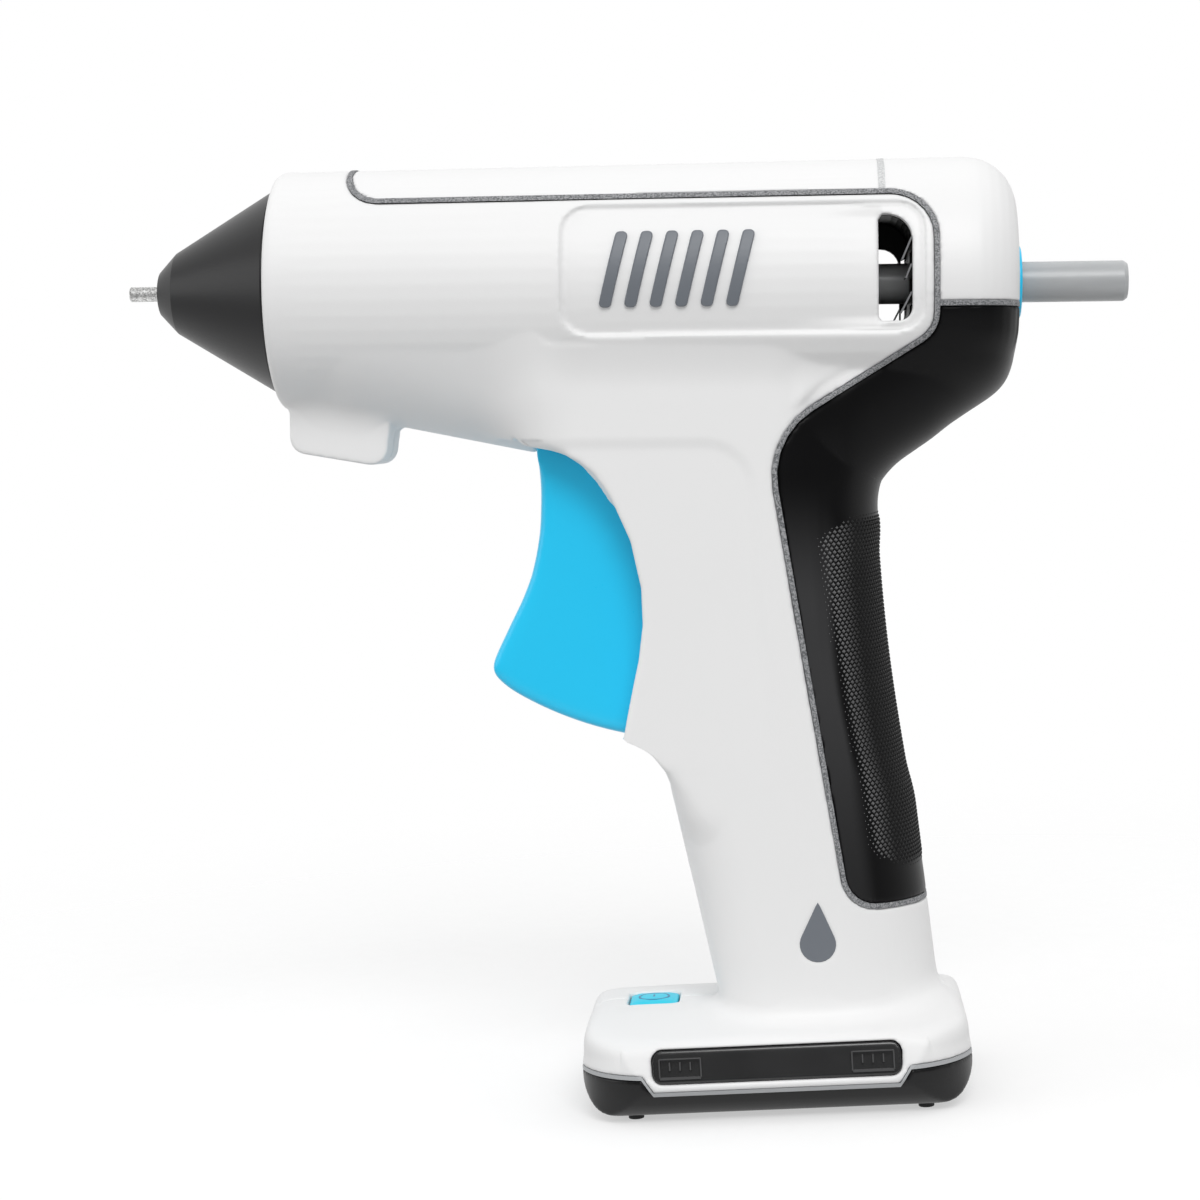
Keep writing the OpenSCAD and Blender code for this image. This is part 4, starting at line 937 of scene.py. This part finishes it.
# A polished mould gives the black ABS a thin bright edge; the band's grey ABS is matt, and the
# pegs' rubber dull.
tray_abs = moulded("Black ABS", ("#080809", "#0d0d0e"), 0.3, 1.54, patch=30, grit=0.4, depth=0.006,
                   Specular_IOR_Level=0.3)
band_abs = moulded("Grey ABS", ("#a6a8aa", "#b0b2b4"), 0.42, 1.54, patch=20, grit=0.3, depth=0.006)
peg_rubber = moulded("Peg rubber", ("#101011", "#161617"), 0.6, 1.5, patch=3, grit=0.25, depth=0.02)
tray_low, tray_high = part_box("base_tray")
tray = cast("base_tray", "tray", TRAY_GRAIN, 2)
points = points_of(tray.data)
reach = (tray_high.y / MM - HULL_SIDE, HULL_TOP - tray_low.z / MM)
across = np.clip((np.abs(points[:, 1]) / MM - HULL_SIDE) / reach[0], 0, 1)
down = np.clip((HULL_TOP - points[:, 2] / MM) / reach[1], 0, 1)
points[:, 1] -= np.sign(points[:, 1]) * across * (1 - np.sqrt(1 - down ** 2 / 2)) * reach[0] * MM
points[:, 2] += down * (1 - np.sqrt(1 - across ** 2 / 2)) * reach[1] * MM
set_points(tray, points)
place(tray, "housing", "tray_black", tray_abs, "base_tray")
dress(band_abs, "base_band")
dress(bright_steel, "shell_screws", "tray_screws")
place(cast("feet", "pegs", PEG_GRAIN, 2), "housing", "foot_rubber", peg_rubber, "feet")

# ---- Status windows
# A pane of smoked polycarbonate in each long side of the base, welded in flush. Moulded
# frames at both ends hold three short ticks each, where the lamps behind shine through.
PANE_GRAIN, PANE_FRAME, PANE_BAR, FRAME_IN, TICK = 0.22, (7.2, 3.4), 0.45, 4.9, (0.28, 1.5)


def box_outline(mid_x, mid_z, width, height):
    return [(mid_x + across * width / 2, mid_z + up * height / 2)
            for across, up in ((-1, -1), (1, -1), (1, 1), (-1, 1))]


# Smoked polycarbonate looks black and wet, with soft changes in its gloss.
smoked, tree, spot = begin("Smoked polycarbonate")
haze = noise(tree, spot, 9)
tone = add(tree, "MixRGB", Fac=haze, Color1="#161617", Color2="#202021")
dull = between(tree, haze, 0.16, 0.26)
coat(tree, Base_Color=tone, Roughness=dull, IOR=1.58)
# The frames are the same smoked plastic, painted a shade lighter than the pane as a highlight on their
# raised edges.
smoked_painted_highlight = moulded("Smoked relief", ("#2c2c2d", "#363637"), 0.22, 1.58, patch=9, grit=0.3, depth=0.004)

wide, tall = PANE_FRAME
relief = [(0, -tall / 2, wide, PANE_BAR, 0.3), (0, tall / 2, wide, PANE_BAR * 0.5, 0.2)]
relief += [(edge * wide / 2, 0, PANE_BAR * 0.6, tall, 0.22) for edge in (-1, 1)]
relief += [(tick * wide * 0.25, 0.35, *TICK, 0.2) for tick in (-1, 0, 1)]
for side, facing in (("left", -1), ("right", 1)):
    node = f"{side}_status_window"
    place(cast(node, f"pane_{side}", PANE_GRAIN, 2), "housing", "window_smoke", smoked, node)
    low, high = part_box(node)
    surface = low.y if side == "left" else high.y
    at = Matrix.Translation(((low.x + high.x) / 2, surface - facing * 0.1 * MM, (low.z + high.z) / 2))
    at = at @ Matrix.Scale(MM, 4) @ Matrix.Scale(-facing, 4, (0, 1, 0))
    faces = bmesh.new()
    for end in (-1, 1):
        middle = end * ((high.x - low.x) / MM / 2 - FRAME_IN)
        for x, z, width, height, depth in relief:
            bar_shape(faces, box_outline(middle + x, z, width, height), depth, at)
    # The frames' lighter tone is a painted highlight.
    place(assembled(f"pane_relief_{side}", faces, outward=True), "housing", "window_smoke", smoked_painted_highlight)

# ---- Power button
# A blue ABS key in a shallow well on top of the base, crowned so that a thumb finds it. The
# usual on-off sign is a thin inlay of darker blue, which follows the crown.
KEY_CORNER, KEY_CROWN, KEY_EDGE, KEY_DROP = 1.4, 0.75, 0.5, 0.25
SIGN_R, SIGN_LINE, SIGN_BAR, SIGN_STEPS = 2.7, 0.34, 1.7, 48
key_low, key_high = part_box("power_button")
key_mid = (key_low + key_high) / 2
key_half = (key_high - key_low) / 2 / MM
key_top = key_high.z / MM - KEY_DROP
key_place = Matrix.Translation((key_mid.x, key_mid.y, 0)) @ Matrix.Scale(MM, 4)


def on_key(x, y, rise=0):
    """A point on the key's crowned top, or over it, in millimetres from its middle."""
    fall = ((x / key_half.x) ** 2 + (y / key_half.y) ** 2) / 2
    return x, y, key_top + rise + KEY_CROWN * (1 - fall)


faces = bmesh.new()
outline = rounded([(*corner, KEY_CORNER) for corner in box_outline(0, 0, key_half.x * 2, key_half.y * 2)],
                  fine=8)
edge_share = KEY_EDGE / max(key_half.x, key_half.y)
rings = [[faces.verts.new((p.x, p.y, key_high.z / MM - 3)) for p in outline]]
for k in range(6):
    turn = math.pi / 2 * k / 5
    size = 1 - edge_share * (1 - math.cos(turn))
    ring = []
    for p in outline:
        height = on_key(p.x, p.y, KEY_EDGE * (math.sin(turn) - 1))[2]
        ring.append(faces.verts.new((p.x * size, p.y * size, height)))
    rings.append(ring)
for k in range(1, 9):
    size = (1 - edge_share) * (1 - k / 9)
    rings.append([faces.verts.new(on_key(p.x * size, p.y * size)) for p in outline])
join_rings(faces, rings)
key = assembled("key_power", faces, key_place, smooth=True)
# The key's own dye is a greener blue than the trigger's, and its skin is duller.
cyan_abs = moulded("Cyan ABS", ("#00cdea", "#04d2ec"), 0.4, 1.54, patch=30, grit=0.4, depth=0.006,
                   Specular_IOR_Level=0.25)
place(key, "button", "blue_plastic", cyan_abs, "power_button")

faces = bmesh.new()
turns = [2 * math.pi * k / SIGN_STEPS for k in range(SIGN_STEPS + 1)]
lines = [[(SIGN_R * math.cos(a), SIGN_R * math.sin(a), Vector((-math.sin(a), math.cos(a)))) for a in turns],
         [(0, SIGN_BAR * (k / 6 - 0.5), Vector((0, 1))) for k in range(7)]]
for line in lines:
    strip = []
    for x, y, ahead in line:
        side = Vector((-ahead.y, ahead.x)) * SIGN_LINE / 2
        strip.append([faces.verts.new(on_key(x + side.x * across, y + side.y * across, rise))
                      for across, rise in ((-1, -0.1), (-1, 0.02), (1, 0.02), (1, -0.1))])
    for low, high in zip(strip, strip[1:]):
        for i in range(3):
            faces.faces.new((low[i], low[i + 1], high[i + 1], high[i]))
# An inlay of darker blue reads as a fine drawn line.
inlay_blue = moulded("Inlay blue", ("#0d6f9e", "#1179aa"), 0.4, 1.54, patch=4, grit=0.3, depth=0.004)
place(assembled("key_sign", faces, key_place, outward=True), "button", "blue_plastic", inlay_blue)

# ---- Studio
# A pale floor that keeps the gun's shadow and fades into a white room, one large soft light
# from the front, and a weak one from the nose's side. The room is brighter above than below.
MIDDLE = Vector((0, 0, 0.085))
LIGHTS = {"key": ((0.2, -1.0, 0.95), 0.6, 7.8), "side": ((-1.0, -0.3, 0.4), 0.5, 1.2)}
for name, (where, size, power) in LIGHTS.items():
    lamp = fit(bpy.data.lights.new(name, "AREA"), shape="RECTANGLE", size=size, size_y=size, energy=power)
    aim = (MIDDLE - Vector(where)).to_track_quat("-Z", "Y").to_euler()
    fit(linked(name, lamp), location=where, rotation_euler=aim)

world, tree, way = begin("room", "worlds", "Generated")
rays = add(tree, "LightPath").outputs
way = add(tree, "SeparateXYZ", Vector=way).outputs
walls = between(tree, way["Y"], 0.25, 1, From_Min=-0.5, From_Max=0.3)
sky = between(tree, way["Z"], 0.24, 0.8, From_Min=-0.6, From_Max=0.6)
open_view = add(tree, "Math", {"operation": "MAXIMUM"}, _0=rays["Is Camera Ray"],
                _1=rays["Is Transmission Ray"])
room = between(tree, rays["Is Glossy Ray"], sky, walls)
room = between(tree, open_view, room, 1)
air = add(tree, "Background", Color=(1, 1, 1, 1), Strength=room)
add(tree, "OutputWorld", Surface=air)
bpy.context.scene.world = world

faces = bmesh.new()
bmesh.ops.create_circle(faces, cap_ends=True, segments=96, radius=1.4)
floor = assembled("floor", faces)
# Matt card takes the shadow softly, and fades out before its edge can show.
card, tree, spot = begin("Pale card")
away = add(tree, "VectorMath", {"operation": "LENGTH"}, _0=spot)
fade = add(tree, "MapRange", {"interpolation_type": "SMOOTHSTEP"}, Value=away.outputs["Value"],
           From_Min=0.12, From_Max=0.42)
fibre = noise(tree, spot, 6)
tone = add(tree, "MixRGB", Fac=fibre, Color1="#bababa", Color2="#bebebe")
paper = add(tree, "BsdfDiffuse", Color=tone)
rays = add(tree, "LightPath").outputs
seen = add(tree, "Math", {"operation": "MAXIMUM"}, _0=rays["Is Camera Ray"], _1=rays["Is Glossy Ray"])
gain = add(tree, "Math", {"operation": "MULTIPLY"}, _0=seen, _1=0.5)
glow = add(tree, "Emission", Color=(1, 1, 1, 1), Strength=gain)
lit = add(tree, "AddShader", _0=paper, _1=glow)
clear = add(tree, "BsdfTransparent")
both = add(tree, "MixShader", Fac=fade, _1=lit, _2=clear)
add(tree, "OutputMaterial", Surface=both)
paint(floor.data, card)

# ---- Camera
# Level with the gun's upper half, half a metre off its left side, rolled so that the nose
# drops a little.
EYE, AIM, ROLL = Vector((0.0308, -0.491, 0.12135)), Vector((-0.00749, 0, 0.0909)), math.radians(3.5)
lens = fit(bpy.data.cameras.new("camera"), lens=81.4, sensor_width=36, clip_start=0.01, clip_end=20)
turn = (AIM - EYE).to_track_quat("-Z", "Y").to_matrix() @ Matrix.Rotation(-ROLL, 3, "Z")
camera = fit(linked("camera", lens), location=EYE, rotation_euler=turn.to_euler())
bpy.context.scene.camera = camera
bpy.context.scene.view_settings.view_transform = "Standard"
